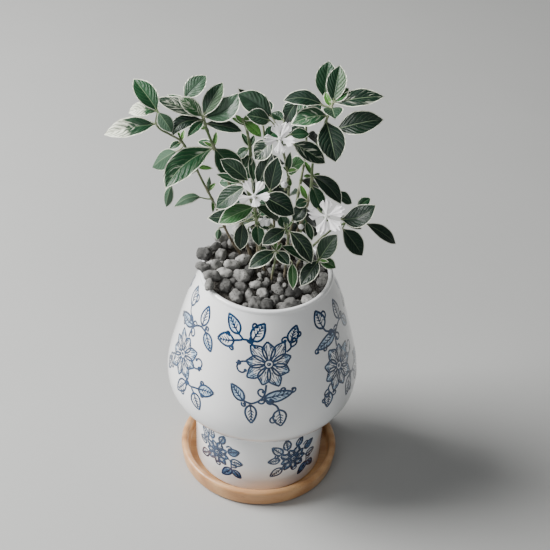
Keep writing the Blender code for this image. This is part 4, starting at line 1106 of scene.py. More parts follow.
def sheet_grid(net, columns, rows):
    """A unit grid that stores how far along and how far across each of its points is."""
    grid = net.node("GeometryNodeMeshGrid", {}, {"Size X": 1.0, "Size Y": 1.0, "Vertices X": rows,
                                                 "Vertices Y": columns})
    x, y, _ = net.parts(net.node("GeometryNodeInputPosition"))
    grid = net.store(grid, "along", x + 0.5)
    return net.store(grid, "across", y * -2)


def set_on(net, points, grid):
    """The grid on every point, with the points' numbers, as one mesh."""
    copies = net.node("GeometryNodeInstanceOnPoints", {}, {"Points": points, "Instance": grid})
    return net.node("GeometryNodeRealizeInstances", {}, {0: copies})


def leaf_recipe():
    net = Recipe("leafy_stem", Upper="Material", Under="Material", Bark="Material", Thickness="Float", Sides="Int")
    beds = net.given("Geometry")
    chosen = net.node("GeometryNodeSeparateGeometry", {}, {"Geometry": beds, "Selection": net.attribute("is_leaf") > 0.5})
    others = net.other(chosen, 1)
    sheet = set_on(net, chosen, sheet_grid(net, LEAF_COLUMNS, LEAF_ROWS))

    t, s = net.attribute("along"), net.attribute("across")
    foot, bend, tip, face = (net.attribute(name, "FLOAT_VECTOR") for name in LEAF_VECTORS)
    half, seed = net.attribute("half"), net.attribute("seed")
    rest = 1 - t
    centre = foot * (rest * rest) + bend * (t * rest * 2) + tip * (t * t)
    heading = ((bend - foot) * rest + (tip - bend) * t).vec("NORMALIZE")
    facing = (face - heading * heading.vec("DOT_PRODUCT", face, 1)).vec("NORMALIZE")
    side = heading.vec("CROSS_PRODUCT", facing)
    off = s.calc("ABSOLUTE")
    wobble = net.noise(net.vector(t * 3.2, s * 0.8 + seed * 7.3, seed), 1.0, 1.0)
    width = half * net.curve(t, LEAF_OUTLINE) * (1.0 + wobble * 0.07)
    ruffle = (t * 17 + seed * 9 + s * 0.8).calc("SINE") * net.attribute("ripple") * off * off
    tilt = net.attribute("fold") * (1 - 0.35 * off)
    lift = width * off * tilt + ruffle * width - net.attribute("curl") * half * (t * t)
    lift = lift + (wobble - 0.5) * half * 0.12
    place = centre + side * (width * s * 0.97) + facing * lift
    edge = width * (1 - off)
    sheet = net.store(sheet, "edge", edge / MM)
    sheet = net.store(sheet, "from_rib", width * off / MM)
    body = (1 - s * s).calc("SQRT") * t.smooth(0.0, 0.08) * (1 - t).smooth(0.0, 0.05)
    upper = net.painted(net.moved(sheet, place), net.given("Upper"))
    lower = net.moved(sheet, place - facing * (body * net.given("Thickness")))
    lower = net.painted(net.node("GeometryNodeFlipFaces", {}, {0: lower}), net.given("Under"))

    line = net.node("GeometryNodeMeshToCurve", {}, {0: others})
    ring = net.node("GeometryNodeCurvePrimitiveCircle", {}, {"Resolution": net.given("Sides"), "Radius": 1.0})
    tubes = net.node("GeometryNodeCurveToMesh", {}, {"Curve": line, "Profile Curve": ring,
                                                     "Scale": net.attribute("girth"), "Fill Caps": True})
    tubes = net.painted(tubes, net.given("Bark"))
    blades = net.node("GeometryNodeMergeByDistance", {}, {"Geometry": net.joined(upper, lower), "Distance": WELD})
    net.finish(net.joined(blades, tubes))
    return net


stem_recipe = leaf_recipe()
print("leaf grid", LEAF_ROWS, "by", LEAF_COLUMNS)

# %% [markdown]
# ## Leaf and bark finishes
# Seen close, a leaf is a dark waxy green with a thin cream edge that wanders in and out, a paler midrib, and
# side veins that run forward. The pattern has to follow each leaf, so it reads the numbers that the recipe
# stored: millimetres from the edge and from the midrib, and the share of the way to the tip.

# %% Leaf finishes
DEEP_GREEN = (0.002, 0.013, 0.008)
MID_GREEN = (0.011, 0.070, 0.023)
YOUNG_GREEN = (0.072, 0.21, 0.030)
SAGE = (0.08, 0.135, 0.088)
CREAM = (0.84, 0.87, 0.72)
PALE_GREEN = (0.20, 0.32, 0.17)
RIB_GREEN = (0.34, 0.46, 0.27)


def leaf_pattern(paint):
    """The greens and creams of a blade, with its painted sheen and shade, and the height of its veins."""
    t, s = paint.attribute("along"), paint.attribute("across")
    edge, rib = paint.attribute("edge"), paint.attribute("from_rib")
    green, seed, veins = paint.attribute("green"), paint.attribute("seed"), paint.attribute("veins")
    drift = paint.noise(paint.vector(t * 5, s * 1.6 + seed * 11, seed * 3), 1.0, 3.0, 0.6)
    fleck = paint.noise(paint.place(), 1500, 2.0)
    colour = paint.mix((green * 2).smooth(0.0, 1.0), DEEP_GREEN, MID_GREEN)
    colour = paint.mix((green * 2 - 1).smooth(0.0, 1.0) * (0.8 + drift * 0.3), colour, YOUNG_GREEN)
    # A share of grey sage: the leaves' own grey-green of variegation and undersides; on the dark painted sheen leaves
    # it is painted blue-grey sheen
    colour = paint.mix(paint.attribute("sage") * (0.45 + drift * 0.5), colour, SAGE)
    colour = paint.mix(fleck.smooth(0.45, 0.75) * 0.2, colour, MID_GREEN)
    off = s.calc("ABSOLUTE")
    lane = t * 7.5 - off * (off * 1.1 + 1.7) + drift * 1.1
    from_vein = (lane.calc("FRACT") - 0.5).calc("ABSOLUTE")
    side_vein = (1 - from_vein.smooth(0.0, 0.11)) * off.smooth(0.04, 0.2) * edge.smooth(0.1, 0.7)
    midrib = 1 - rib.smooth(0.1, 0.34 - t * 0.12)
    swell = from_vein.smooth(0.1, 0.5) * off.smooth(0.1, 0.4)
    # Lighter green on the bulges between the side veins, in drifting patches: painted sheen
    colour = paint.mix(swell * drift.smooth(0.4, 0.7) * 0.45, colour, MID_GREEN)
    vein = (side_vein * 0.32).calc("MAXIMUM", midrib * (1 - t.smooth(0.7, 0.98)))
    colour = paint.mix(vein * veins.calc("MAXIMUM", 0.0) * 0.85, colour, RIB_GREEN)
    # Sunken veins are darkened towards deep green: painted shade in their grooves
    colour = paint.mix(vein * (0 - veins).calc("MAXIMUM", 0.0) * 0.7, colour, DEEP_GREEN)
    stroke = paint.noise(paint.vector(lane * 1.7, seed * 17 + s.calc("SIGN") * 3, off * 1.3), 1.0, 2.0, 0.5)
    share = paint.attribute("streaks")
    to_tip = paint.attribute("tip")
    streaks = (stroke + share * 0.42 + (t - 0.6) * to_tip * 0.5).smooth(0.64, 0.78) * share.smooth(0.0, 0.1)
    colour = paint.mix(streaks * (share * 0.6 + 0.35), colour, CREAM)
    # One half of the blade is painted paler: painted light, as on the half of a folded leaf that catches more of it
    side = paint.attribute("side")
    painted_light_half = (s * side + drift * 0.5).smooth(0.28, 0.5) * side.calc("ABSOLUTE").smooth(0.0, 0.1)
    colour = paint.mix(painted_light_half * 0.32, colour, PALE_GREEN)
    tip = (t + to_tip + drift * 0.5 - 1.28).smooth(0.0, 0.12) * to_tip.smooth(0.0, 0.05)
    dark_lines = (1 - from_vein.smooth(0.05, 0.28)) * off.smooth(0.02, 0.12)
    colour = paint.mix(tip * (0.92 - dark_lines * 0.75), colour, CREAM)
    wander = paint.noise(paint.vector(t * 7, s.calc("SIGN") * 5 + seed * 13, seed), 1.0, 3.0, 0.6)
    margin = 1 - (edge - paint.attribute("margin") * (wander * 0.6 + 0.34)).smooth(-0.05, 0.07)
    colour = paint.mix(margin * 0.97, colour, CREAM)
    height = vein * -0.8 + swell * 0.7 + fleck * 0.12 + paint.noise(paint.place(), 600, 2.0) * 0.3
    return colour, height, vein


def upper_finish():
    paint = Finish("leaf_upper", IOR=1.38, Coat_Roughness=0.2, Coat_Weight=0.16)
    colour, height, vein = leaf_pattern(paint)
    paint.set("Base Color", colour)
    paint.set("Roughness", 0.34 + paint.noise(paint.place(), 900, 2.0) * 0.16)
    paint.bump(height, 0.8, 0.0002)
    return paint.material


def under_finish():
    paint = Finish("leaf_under", IOR=1.35)
    colour, height, vein = leaf_pattern(paint)
    pale = paint.mix(vein * 0.6, (0.05, 0.095, 0.06), (0.17, 0.25, 0.14))
    paint.set("Base Color", paint.mix(0.5, colour, pale))
    paint.set("Roughness", 0.6 + paint.noise(paint.place(), 900, 2.0) * 0.15)
    paint.bump(0 - height, 0.6, 0.0002)
    return paint.material


def bark_finish():
    bark = Finish("bark", IOR=1.4)
    age = bark.attribute("age")
    x, y, z = bark.parts(bark.place())
    grain = bark.noise(bark.vector(x * 1300, y * 1300, z * 190), 1.0, 4.0, 0.65)
    patches = bark.noise(bark.place(), 260, 3.0)
    old = bark.mix(grain.smooth(0.35, 0.65), (0.10, 0.075, 0.05), (0.34, 0.29, 0.21))
    young = bark.mix(patches.smooth(0.35, 0.7), (0.125, 0.19, 0.08), (0.32, 0.34, 0.22))
    bark.set("Base Color", bark.mix((age + patches * 0.5 - 0.25).smooth(0.25, 0.75), young, old))
    bark.set("Roughness", 0.62 + grain * 0.25)
    bark.bump(grain, 0.7, 0.0003)
    return bark.material


# %% Leafy stems
PETIOLE_RADIUS = 0.34 * MM
TWIG_RADIUS = 0.45 * MM
NODE_SWELL = 0.35
FINE_GIRTH = 0.66
NODE_REACH = 0.9 * MM
FINE_STEPS = 8


def node_girth(point, radius, nodes):
    """A stem swells where leaves leave it."""
    near = min([(point - node).length for node in nodes] or [1.0])
    return radius * (1 + NODE_SWELL * exp(-(near / NODE_REACH) ** 2))


class Bed:
    """Collects the points and edges that a stem's recipe grows."""

    def __init__(self):
        self.points, self.edges = [], []
        self.values = {name: [] for name in ("is_leaf", "girth", "age", *LEAF_NUMBERS, *LEAF_VECTORS)}

    def add(self, place, **values):
        self.points.append(place)
        for name, kept in self.values.items():
            kept.append(values.get(name, Vector() if name in LEAF_VECTORS else 0.0))

    def tube(self, path, girths, ages):
        first = len(self.points)
        for place, girth, age in zip(path, girths, ages):
            self.add(place, girth=girth, age=age)
        self.edges += [(first + i, first + i + 1) for i in range(len(path) - 1)]

    def mesh(self, name):
        return seedbed(name, self.points, self.edges, **self.values)


def add_leaf(bed, leaf, pose, rng):
    node, foot, bend, tip, normal, half = pose
    look = LOOKS[leaf.look]
    big = leaf.wide > 9
    bed.add(foot, is_leaf=1.0, half=half, seed=rng.uniform(0, 10), fold=rng.uniform(0.16, 0.36) if big else 0.4,
            curl=rng.uniform(-0.05, 0.22), ripple=rng.uniform(0.0, 0.06), foot=foot, bend=bend, tip_point=tip,
            face=-normal if look.under else normal, **look._asdict())
    if leaf.foot:
        inward = (bend - foot).normalized() * (1.6 * MM)
        sag = node.lerp(foot, 0.5) + Vector((0, 0, -0.3 * MM))
        path = curved([node, sag, foot, foot + inward], 3)
        bed.tube(path, [PETIOLE_RADIUS * (1.15 - 0.5 * i / len(path)) for i in range(len(path))], [0.2] * len(path))
    else:
        inward = (bend - foot).normalized()
        path = [node, node + inward * (1.2 * MM), node + inward * (2.4 * MM)]
        size = min(1.0, leaf.wide / 12)
        bed.tube(path, [PETIOLE_RADIUS * size * share for share in (1.25, 1.0, 0.3)], [0.15] * 3)


def make_leafy_stem(stem, finishes):
    rng = random.Random(stem.name)
    path, radii = stem_axis(stem, FINE_STEPS)
    nodes = [pose[0] for pose in poses[stem.name]]
    bed = Bed()
    last = len(path) - 1
    ages = [max(0.0, 1.05 - 1.45 * i / last) for i in range(last + 1)]
    bed.tube(path, [node_girth(p, r * FINE_GIRTH, nodes) for p, r in zip(path, radii)], ages)
    for leaf, pose in zip(stem.leaves, poses[stem.name]):
        add_leaf(bed, leaf, pose, rng)
    for carried, (seat, axis) in seats.items():
        if TWIG_STEMS[carried] == stem.name:
            bend = seat - axis * TWIG_APPROACH
            start = nearest_to(stem_axis(stem)[0], bend)
            route = curved([start, bend, seat - axis * (1.5 * GAP)], 5)
            bed.tube(route, [TWIG_RADIUS * (1.2 - 0.3 * i / len(route)) for i in range(len(route))], [0.3] * len(route))
    upper, under, bark = finishes
    grown = stem_recipe.grow("fine_" + stem.name, bed.mesh(stem.name), Upper=upper, Under=under, Bark=bark,
                             Thickness=LEAF_THICKNESS, Sides=TUBE_SIDES)
    smooth(grown, 65)
    hand_over(grown, "serissa_leaf", stem.name)


# %% Where blooms and buds sit
TUBE_LENGTH = 6.0 * MM


def bloom_frame(bloom):
    """Centre and facing of a bloom."""
    centre = spot(bloom.centre, bloom.depth * MM)
    return centre, ((EYE - centre).normalized() + Vector((0, 0, 0.25))).normalized()


def bud_frame(bud):
    """A bud's middle and axis."""
    base = spot(bud.centre, bud.depth * MM)
    tip = spot(bud.tip, (bud.depth - 2) * MM)
    return base.lerp(tip, 0.5), (tip - base).normalized()


seats = {}
for bloom in BLOOMS:
    centre, facing = bloom_frame(bloom)
    seats[bloom.name] = (centre - facing * TUBE_LENGTH, facing)
for bud in BUDS:
    middle, axis = bud_frame(bud)
    seats[bud.name] = (middle - axis * (0.9 * bud.size * MM), axis)

# %% Grow the stems
leaf_finishes = (upper_finish(), under_finish(), bark_finish())
for stem in STEMS:
    make_leafy_stem(stem, leaf_finishes)

# %% [markdown]
# ## Blooms and buds
# A serissa's flower is a short tube that opens into four to six white lobes, each cut into three at its tip,
# with fine hairs in the throat. The lobes use the leaf's idea again: a grid that a recipe bends, here with an
# outline that widens to a toothed edge. Buds are turned shapes whose outline is pushed into five twisted folds.

# %% Petals
PETAL_CUP = 0.12
PETAL_TWIST = radians(5)
PETAL_WIDTHS = [(0.0, 0.12), (0.15, 0.18), (0.3, 0.32), (0.5, 0.62), (0.7, 0.93), (0.86, 1.0), (1.0, 0.80)]
PETAL_TEETH = [(0.0, 0.74), (0.08, 0.86), (0.17, 0.94), (0.25, 0.90), (0.33, 0.77), (0.41, 0.92), (0.5, 1.0),
               (0.59, 0.92), (0.67, 0.77), (0.75, 0.90), (0.83, 0.94), (0.92, 0.86), (1.0, 0.74)]
PETAL_THICKNESS = 0.22 * MM


def petal_recipe():
    net = Recipe("bloom", Petal="Material", Green="Material", Thickness="Float")
    beds = net.given("Geometry")
    chosen = net.node("GeometryNodeSeparateGeometry", {}, {"Geometry": beds, "Selection": net.attribute("is_petal") > 0.5})
    others = net.other(chosen, 1)
    sheet = set_on(net, chosen, sheet_grid(net, 25, 29))
    t, s = net.attribute("along"), net.attribute("across")
    foot, run, face = (net.attribute(name, "FLOAT_VECTOR") for name in ("foot", "run", "face"))
    half, seed = net.attribute("half"), net.attribute("seed")
    side = run.vec("NORMALIZE").vec("CROSS_PRODUCT", face)
    teeth = net.curve(s * 0.5 + 0.5, PETAL_TEETH)
    fringe = net.noise(net.vector(s * 7, seed * 5, 0.0), 1.0, 2.0)
    pull = t.calc("POWER", 3.0)
    notch = (1 - teeth * (0.95 + fringe * 0.1)) * net.attribute("teeth") + s * s * 0.07
    reach = t * (1 - pull * notch)
    length = run.vec("LENGTH", out=1)
    wide = half * net.curve(t, PETAL_WIDTHS) * s
    ruffle = (s * 8 + seed * 6).calc("SINE") * (t * t) * half * 0.05
    crease = (1 - s.calc("ABSOLUTE")).calc("POWER", 4.0) * half * -0.03
    lift = length * (t * t) * PETAL_CUP + wide * tan(PETAL_TWIST) - s * s * 0.4 * MM + ruffle + crease
    place = foot + run * reach + side * wide + face * lift
    body = (1 - s * s).calc("SQRT") * (1 - t).smooth(0.0, 0.06) * t.smooth(0.0, 0.04)
    upper = net.moved(sheet, place)
    lower = net.node("GeometryNodeFlipFaces", {}, {0: net.moved(sheet, place - face * (body * net.given("Thickness")))})
    petals = net.node("GeometryNodeMergeByDistance", {}, {"Geometry": net.joined(upper, lower), "Distance": WELD})
    petals = net.painted(petals, net.given("Petal"))
    line = net.node("GeometryNodeMeshToCurve", {}, {0: others})
    ring = net.node("GeometryNodeCurvePrimitiveCircle", {}, {"Resolution": 16, "Radius": 1.0})
    tubes = net.node("GeometryNodeCurveToMesh", {}, {"Curve": line, "Profile Curve": ring,
                                                     "Scale": net.attribute("girth"), "Fill Caps": True})
    green = net.attribute("green") > 0.5
    tubes = net.node("GeometryNodeSetMaterial", {}, {"Geometry": tubes, "Material": net.given("Petal")})
    tubes = net.node("GeometryNodeSetMaterial", {}, {"Geometry": tubes, "Selection": green, "Material": net.given("Green")})
    net.finish(net.joined(petals, tubes))
    return net


def petal_finish():
    petal = Finish("petal", IOR=1.4, Subsurface_Weight=0.15, Subsurface_Scale=0.0015, Subsurface_Radius=(1, 1, 1))
    t, s, seed = petal.attribute("along"), petal.attribute("across"), petal.attribute("seed")
    lines = petal.noise(petal.vector(s * 16, t * 1.4, seed), 1.0, 3.0, 0.6)
    colour = petal.mix(lines.smooth(0.35, 0.75), (0.97, 0.96, 0.97), (0.90, 0.88, 0.91))
    rib = 1 - s.calc("ABSOLUTE").smooth(0.02, 0.16)
    colour = petal.mix(rib * 0.22, colour, (0.78, 0.75, 0.82))
    colour = petal.mix((1 - t.smooth(0.0, 0.26)) * 0.45, colour, (0.66, 0.69, 0.60))
    petal.set("Base Color", colour)
    petal.set("Roughness", 0.5 + lines * 0.2)
    petal.bump(lines - rib * 0.3, 0.25, 0.00015)
    return petal.material


def sepal_finish():
    sepal = Finish("sepal", Roughness=0.5)
    cloud = sepal.noise(sepal.place(), 900, 3.0)
    sepal.set("Base Color", sepal.mix(cloud.smooth(0.35, 0.7), (0.09, 0.17, 0.035), (0.26, 0.33, 0.11)))
    sepal.bump(cloud, 0.4, 0.0002)
    return sepal.material


class BloomBed(Bed):
    """Points of petals, and edges of the tube, the calyx teeth and the throat's hairs."""

    def __init__(self):
        self.points, self.edges = [], []
        self.values = {name: [] for name in ("is_petal", "half", "seed", "teeth", "girth", "green", "foot",
                                          "run", "face")}

    def add(self, place, **values):
        self.points.append(place)
        for name, kept in self.values.items():
            kept.append(values.get(name, Vector() if name in ("foot", "run", "face") else 0.0))

    def tube(self, path, girths, green=0.0):
        first = len(self.points)
        for place, girth in zip(path, girths):
            self.add(place, girth=girth, green=green)
        self.edges += [(first + i, first + i + 1) for i in range(len(path) - 1)]


def around(facing, angle):
    """A direction square to a bloom's axis."""
    start = facing.orthogonal().normalized()
    return Matrix.Rotation(angle, 3, facing) @ start


def spot_on_plane(pixel, centre, normal):
    ray = sight(pixel)
    return EYE + ray * ((centre - EYE).dot(normal) / ray.dot(normal))


def make_bloom(bloom, petal, green):
    rng = random.Random(bloom.name)
    centre, facing = bloom_frame(bloom)
    bed = BloomBed()
    for pixel in bloom.petals:
        run = spot_on_plane(pixel, centre, facing) - centre
        bed.add(centre, is_petal=1.0, half=bloom.wide * PIXEL_SIZE / 2, seed=rng.uniform(0, 10), teeth=bloom.teeth,
                foot=centre, run=run, face=facing)
    back = centre - facing * TUBE_LENGTH
    steps = [(0.0, 0.55), (0.12, 0.85), (0.3, 0.8), (0.6, 0.8), (0.85, 0.9), (0.97, 1.0), (1.0, 0.7)]
    bed.tube([back.lerp(centre, share) for share, _ in steps], [size * MM for _, size in steps])
    for i in range(5):
        out = around(facing, 2 * pi * i / 5)
        root = back + facing * (0.3 * MM) + out * (0.55 * MM)
        bed.tube([root, root + facing * (1.2 * MM) + out * (0.5 * MM), root + facing * (2.4 * MM) + out * (0.9 * MM)],
                 [0.3 * MM, 0.24 * MM, 0.05 * MM], green=1.0)
    bed.tube([back - facing * (0.35 * MM), back + facing * (0.3 * MM), back + facing * (0.9 * MM)],
             [0.45 * MM, 0.95 * MM, 0.8 * MM], green=1.0)
    for i in range(22):
        out = around(facing, rng.uniform(0, 2 * pi))
        root = centre + facing * (0.2 * MM) + out * (rng.uniform(0.1, 0.9) * MM)
        end = root + facing * (rng.uniform(0.3, 0.7) * MM) + out * (rng.uniform(0.1, 0.5) * MM)
        bed.tube([root, end], [0.05 * MM, 0.02 * MM])
    for i in range(2):
        out = around(facing, 1 + i * pi)
        bed.tube([centre, centre + facing * (0.9 * MM) + out * (0.1 * MM), centre + facing * (1.4 * MM) + out * (0.5 * MM)],
                 [0.11 * MM, 0.11 * MM, 0.15 * MM])
    made = bloom_recipe.grow("fine_" + bloom.name, bed.mesh(bloom.name), Petal=petal, Green=green,
                             Thickness=PETAL_THICKNESS)
    smooth(made, 60)
    hand_over(made, "serissa_bloom", bloom.name)


# %% Buds
BUD_OUTLINE = ((-0.9, 0.0), (-0.88, 0.3), (-0.6, 0.62), (-0.3, 0.84), (0.0, 0.98), (0.3, 1.0), (0.6, 0.88),
               (0.9, 0.66), (1.15, 0.4), (1.32, 0.16), (1.38, 0.0))
BUD_STEPS = 60
HALF_OPEN = 2.2


def bud_mesh(name, middle, axis, size, twist, depth):
    """A closed bud: rings round its axis, drawn in between five folds that wind towards the tip."""
    bm = bmesh.new()
    rings = []
    run = [Vector(p) for p in BUD_OUTLINE]
    for station in curved(run, 4):
        height, share = station
        share = max(share, 0.0)
        ring = []
        for k in range(BUD_STEPS):
            angle = 2 * pi * k / BUD_STEPS
            folds = 1 - depth * (0.5 + 0.5 * cos(5 * (angle + twist * height))) ** 6 * min(1.0, max(0.0, height + 0.6))
            ring.append(bm.verts.new(middle + axis * (height * size) + around(axis, angle) * (share * size * folds)))
        rings.append(ring)
    for lower, upper in zip(rings, rings[1:]):
        for k in range(BUD_STEPS):
            bm.faces.new((lower[k], lower[(k + 1) % BUD_STEPS], upper[(k + 1) % BUD_STEPS], upper[k]))
    bmesh.ops.remove_doubles(bm, verts=bm.verts, dist=0.002 * MM)
    bmesh.ops.recalc_face_normals(bm, faces=bm.faces)
    mesh = bpy.data.meshes.new(name)
    bm.to_mesh(mesh)
    bm.free()
    return mesh


def bud_finish():
    skin = Finish("bud_skin", Roughness=0.5, Subsurface_Weight=0.15, Subsurface_Scale=0.0015,
                  Subsurface_Radius=(1, 1, 1))
    cloud = skin.noise(skin.place(), 1200, 3.0)
    skin.set("Base Color", skin.mix(cloud.smooth(0.35, 0.7), (0.97, 0.97, 0.96), (0.88, 0.88, 0.89)))
    skin.bump(cloud, 0.4, 0.0002)
    return skin.material


def make_bud(bud, skin, green):
    middle, axis = bud_frame(bud)
    size = bud.size * MM
    half_open = bud.size > HALF_OPEN
    slim = (0.62 if half_open else 0.8) * size
    mesh = bud_mesh(bud.name, middle, axis, slim, 1.1, 0.3)
    mesh.materials.append(skin)
    body = new_object("bud_body", mesh)
    bed = BloomBed()
    base = middle - axis * (0.9 * size)
    for i in range(5):
        out = around(axis, 2 * pi * (i + 0.5) / 5)
        bed.tube([base, base + axis * (0.4 * slim) + out * (0.6 * slim), base + axis * (0.95 * slim) + out * (0.95 * slim)],
                 [0.2 * slim, 0.18 * slim, 0.03 * slim], green=1.0)
        if half_open:
            fan = around(axis, 2 * pi * i / 5 + 0.25 * (i % 2))
            run = (axis * 1.5 + fan * (0.75 + 0.2 * (i % 3))) * size
            root = middle - axis * (0.35 * size)
            bed.add(root, is_petal=1.0, half=0.66 * size, seed=1.7 * i, teeth=0.9, foot=root, run=run,
                    face=(axis - run.normalized() * axis.dot(run.normalized())).normalized())
    sepals = bloom_recipe.grow("sepals", bed.mesh(bud.name), Petal=skin, Green=green, Thickness=PETAL_THICKNESS)
    made = join("fine_" + bud.name, [body, sepals])
    smooth(made, 50)
    hand_over(made, "serissa_bloom", bud.name)


# %% Grow the blooms
bloom_recipe = petal_recipe()
petal_white, sepal_green, bud_white = petal_finish(), sepal_finish(), bud_finish()
for bloom in BLOOMS:
    make_bloom(bloom, petal_white, sepal_green)
for bud in BUDS:
    make_bud(bud, bud_white, sepal_green)

# %% [markdown]
# ## Pumice gravel and soil
# Pumice is full of tiny holes and its stones are worn round. A sunflower spread with a seeded jitter puts the
# stones over the mound, clear of the stems and the pot. A recipe turns each place into a lumpy stone: a
# sphere, stretched and turned, with noise for its lumps; the holes are in the finish, as bumps with painted shade.

# %% Stone places
SOIL_TOP = 107.5 * MM
GRAVEL_TOP = 113.0 * MM
GRAVEL_RADIUS = 28.2 * MM
GRAVEL_DROP = 3.6 * MM
GRAVEL_LIFT = 8.5 * MM
GRAVEL_HIGH_SIDE = radians(150)
GRAVEL_OVERHANG = 0.03
HEAP_OVER_RIM = 115.6 * MM
RIM_STONE = 3.7 * MM
STONE_SIZES = (2.7 * MM, 4.1 * MM)
STONE_LIFT = 0.5
STONE_COUNT = 52
STONE_SWELL = 1.12
LEAST_STONE = 1.6 * MM
STEP_INWARD = 0.985
STEP_UP = 0.2 * MM
HOLE_CLEARANCE = 0.4 * MM
SMALL_SIZES = (1.3 * MM, 2.7 * MM)
SMALL_TRIES = 1500
RIM_REACH = 29.9 * MM
RIM_SIZES = (2.7 * MM, 3.6 * MM)
RIM_COUNT = 11
RIM_SPREAD = radians(62)


def mound(x, y):
    """Height of the gravel's bed: higher at the left and back."""
    along = (x * cos(GRAVEL_HIGH_SIDE) + y * sin(GRAVEL_HIGH_SIDE)) / GRAVEL_RADIUS
    return GRAVEL_TOP - GRAVEL_DROP + GRAVEL_LIFT * (1 + along) / 2


def inner_radius(height):
    """Radius of the pot's cavity at a height."""
    wall = inner_wall()
    for (upper_r, upper_z), (lower_r, lower_z) in zip(wall, wall[1:]):
        if lower_z <= height <= upper_z:
            return lower_r + (upper_r - lower_r) * (height - lower_z) / (upper_z - lower_z)
    return MOUTH_RADIUS - POT_WALL if height > POT_TOP / 2 else FOOT_RADIUS - POT_WALL


def clear_of_pot(place, reach):
    """Whether a ball of this radius clears the pot's lip and the cavity's wall."""
    lip = POT_WALL / 2
    out = sqrt(place.x ** 2 + place.y ** 2)
    from_lip = sqrt((out - MOUTH_RADIUS + lip) ** 2 + (place.z - POT_TOP + lip) ** 2)
    if place.z > POT_TOP:
        return from_lip > lip + reach + GAP
    return from_lip > lip + reach + GAP and out < inner_radius(place.z) - reach - GAP


def stone_places(axes):
    """The solid's own stones, by its rule and seed."""
    rng = random.Random(11)
    places = []
    for i in range(STONE_COUNT):
        angle = i * radians(137.5)
        overhang = 1 + GRAVEL_OVERHANG * max(0.0, cos(angle - GRAVEL_HIGH_SIDE))
        reach = GRAVEL_RADIUS * overhang * sqrt((i + 0.5) / STONE_COUNT)
        radius = rng.uniform(*STONE_SIZES)
        x = reach * cos(angle) + rng.uniform(-0.7, 0.7) * MM
        y = reach * sin(angle) + rng.uniform(-0.7, 0.7) * MM
        room = min(sqrt((x - point.x) ** 2 + (y - point.y) ** 2) - thick for point, thick in axes)
        if mound(x, y) > HEAP_OVER_RIM:
            radius = max(radius, RIM_STONE)
        radius = min(radius, (room - HOLE_CLEARANCE) / STONE_SWELL)
        if radius < LEAST_STONE:
            continue
        centre = Vector((x, y, mound(x, y) + STONE_LIFT * radius))
        while not clear_of_pot(centre, radius * STONE_SWELL):
            if mound(x, y) > HEAP_OVER_RIM:
                centre.z += STEP_UP
            else:
                centre.x *= STEP_INWARD
                centre.y *= STEP_INWARD
        places.append((centre, radius))
    return places


def rim_places(big):
    """Stones that lie on the rim at the heap's high side, against the heap."""
    rng = random.Random(41)
    places = []
    for i in range(RIM_COUNT):
        angle = GRAVEL_HIGH_SIDE + RIM_SPREAD * (2 * i / (RIM_COUNT - 1) - 1)
        radius = rng.uniform(*RIM_SIZES)
        reach = RIM_REACH + rng.uniform(-0.7, 0.7) * MM
        centre = Vector((reach * cos(angle), reach * sin(angle), POT_TOP + 0.86 * radius))
        if all((centre - other).length > (radius + size) * 0.72 for other, size in big + places):
            places.append((centre, radius))
    return places


def small_places(axes, big):
    """Small stones in the gaps between the others."""
    rng = random.Random(23)
    places = []
    for i in range(SMALL_TRIES):
        reach = (GRAVEL_RADIUS + 1.2 * MM) * sqrt(rng.random())
        angle = rng.uniform(0, 2 * pi)
        radius = rng.uniform(*SMALL_SIZES)
        x, y = reach * cos(angle), reach * sin(angle)
        centre = Vector((x, y, mound(x, y) + rng.uniform(0.3, 1.0) * radius))
        room = min(sqrt((x - point.x) ** 2 + (y - point.y) ** 2) - thick for point, thick in axes)
        if room < radius + 0.2 * MM or not clear_of_pot(centre, radius):
            continue
        if all((centre - other).length > (radius + size) * 0.8 for other, size in big + places):
            places.append((centre, radius))
    return places


def stone_recipe():
    net = Recipe("stones", Finish="Material", Detail="Int")
    ball = net.node("GeometryNodeMeshIcoSphere", {}, {"Radius": 1.0, "Subdivisions": net.given("Detail")})
    turn = net.node("FunctionNodeEulerToRotation", {}, {0: net.attribute("spin", "FLOAT_VECTOR")})
    copies = net.node("GeometryNodeInstanceOnPoints", {}, {"Points": net.given("Geometry"), "Instance": ball,
                                                           "Rotation": turn, "Scale": net.attribute("stretch", "FLOAT_VECTOR")})
    stones = net.node("GeometryNodeRealizeInstances", {}, {0: copies})
    place = net.node("GeometryNodeInputPosition")
    centre, seed = net.attribute("centre", "FLOAT_VECTOR"), net.attribute("seed")
    from_centre = place - centre
    shifted = from_centre * (1 / MM) + net.vector(seed * 13, seed * 7, seed * 3)
    lumps = net.noise(shifted, 0.32, 1.0)
    facets = net.node("ShaderNodeTexVoronoi", {}, {"Vector": shifted, "Scale": 0.45})
    grit = net.noise(shifted, 2.1, 3.0)
    pits = net.node("ShaderNodeTexVoronoi", {}, {"Vector": shifted, "Scale": 0.85})
    size = 0.92 + (lumps - 0.5) * 0.75 + facets * 0.13 + (grit - 0.5) * 0.12 - (1 - pits.smooth(0.1, 0.3)) * 0.1
    net.finish(net.painted(net.moved(stones, centre + from_centre * size), net.given("Finish")))
    return net


def stone_bed(places, slender, seed):
    rng = random.Random(seed)
    values = {"centre": [], "spin": [], "stretch": [], "seed": [], "tone": []}
    for centre, radius in places:
        values["centre"].append(centre)
        values["spin"].append(Vector((rng.uniform(-0.35, 0.35), rng.uniform(-0.35, 0.35), rng.uniform(0, 2 * pi))))
        values["stretch"].append(Vector((radius * rng.uniform(1.02, 1.26), radius * rng.uniform(*slender),
                                         radius * rng.uniform(*slender))))
        values["seed"].append(rng.uniform(0, 20))
        values["tone"].append(rng.random())
    return seedbed("stones", [centre for centre, _ in places], **values)


GRIT_DEPTH = 1.0 * MM


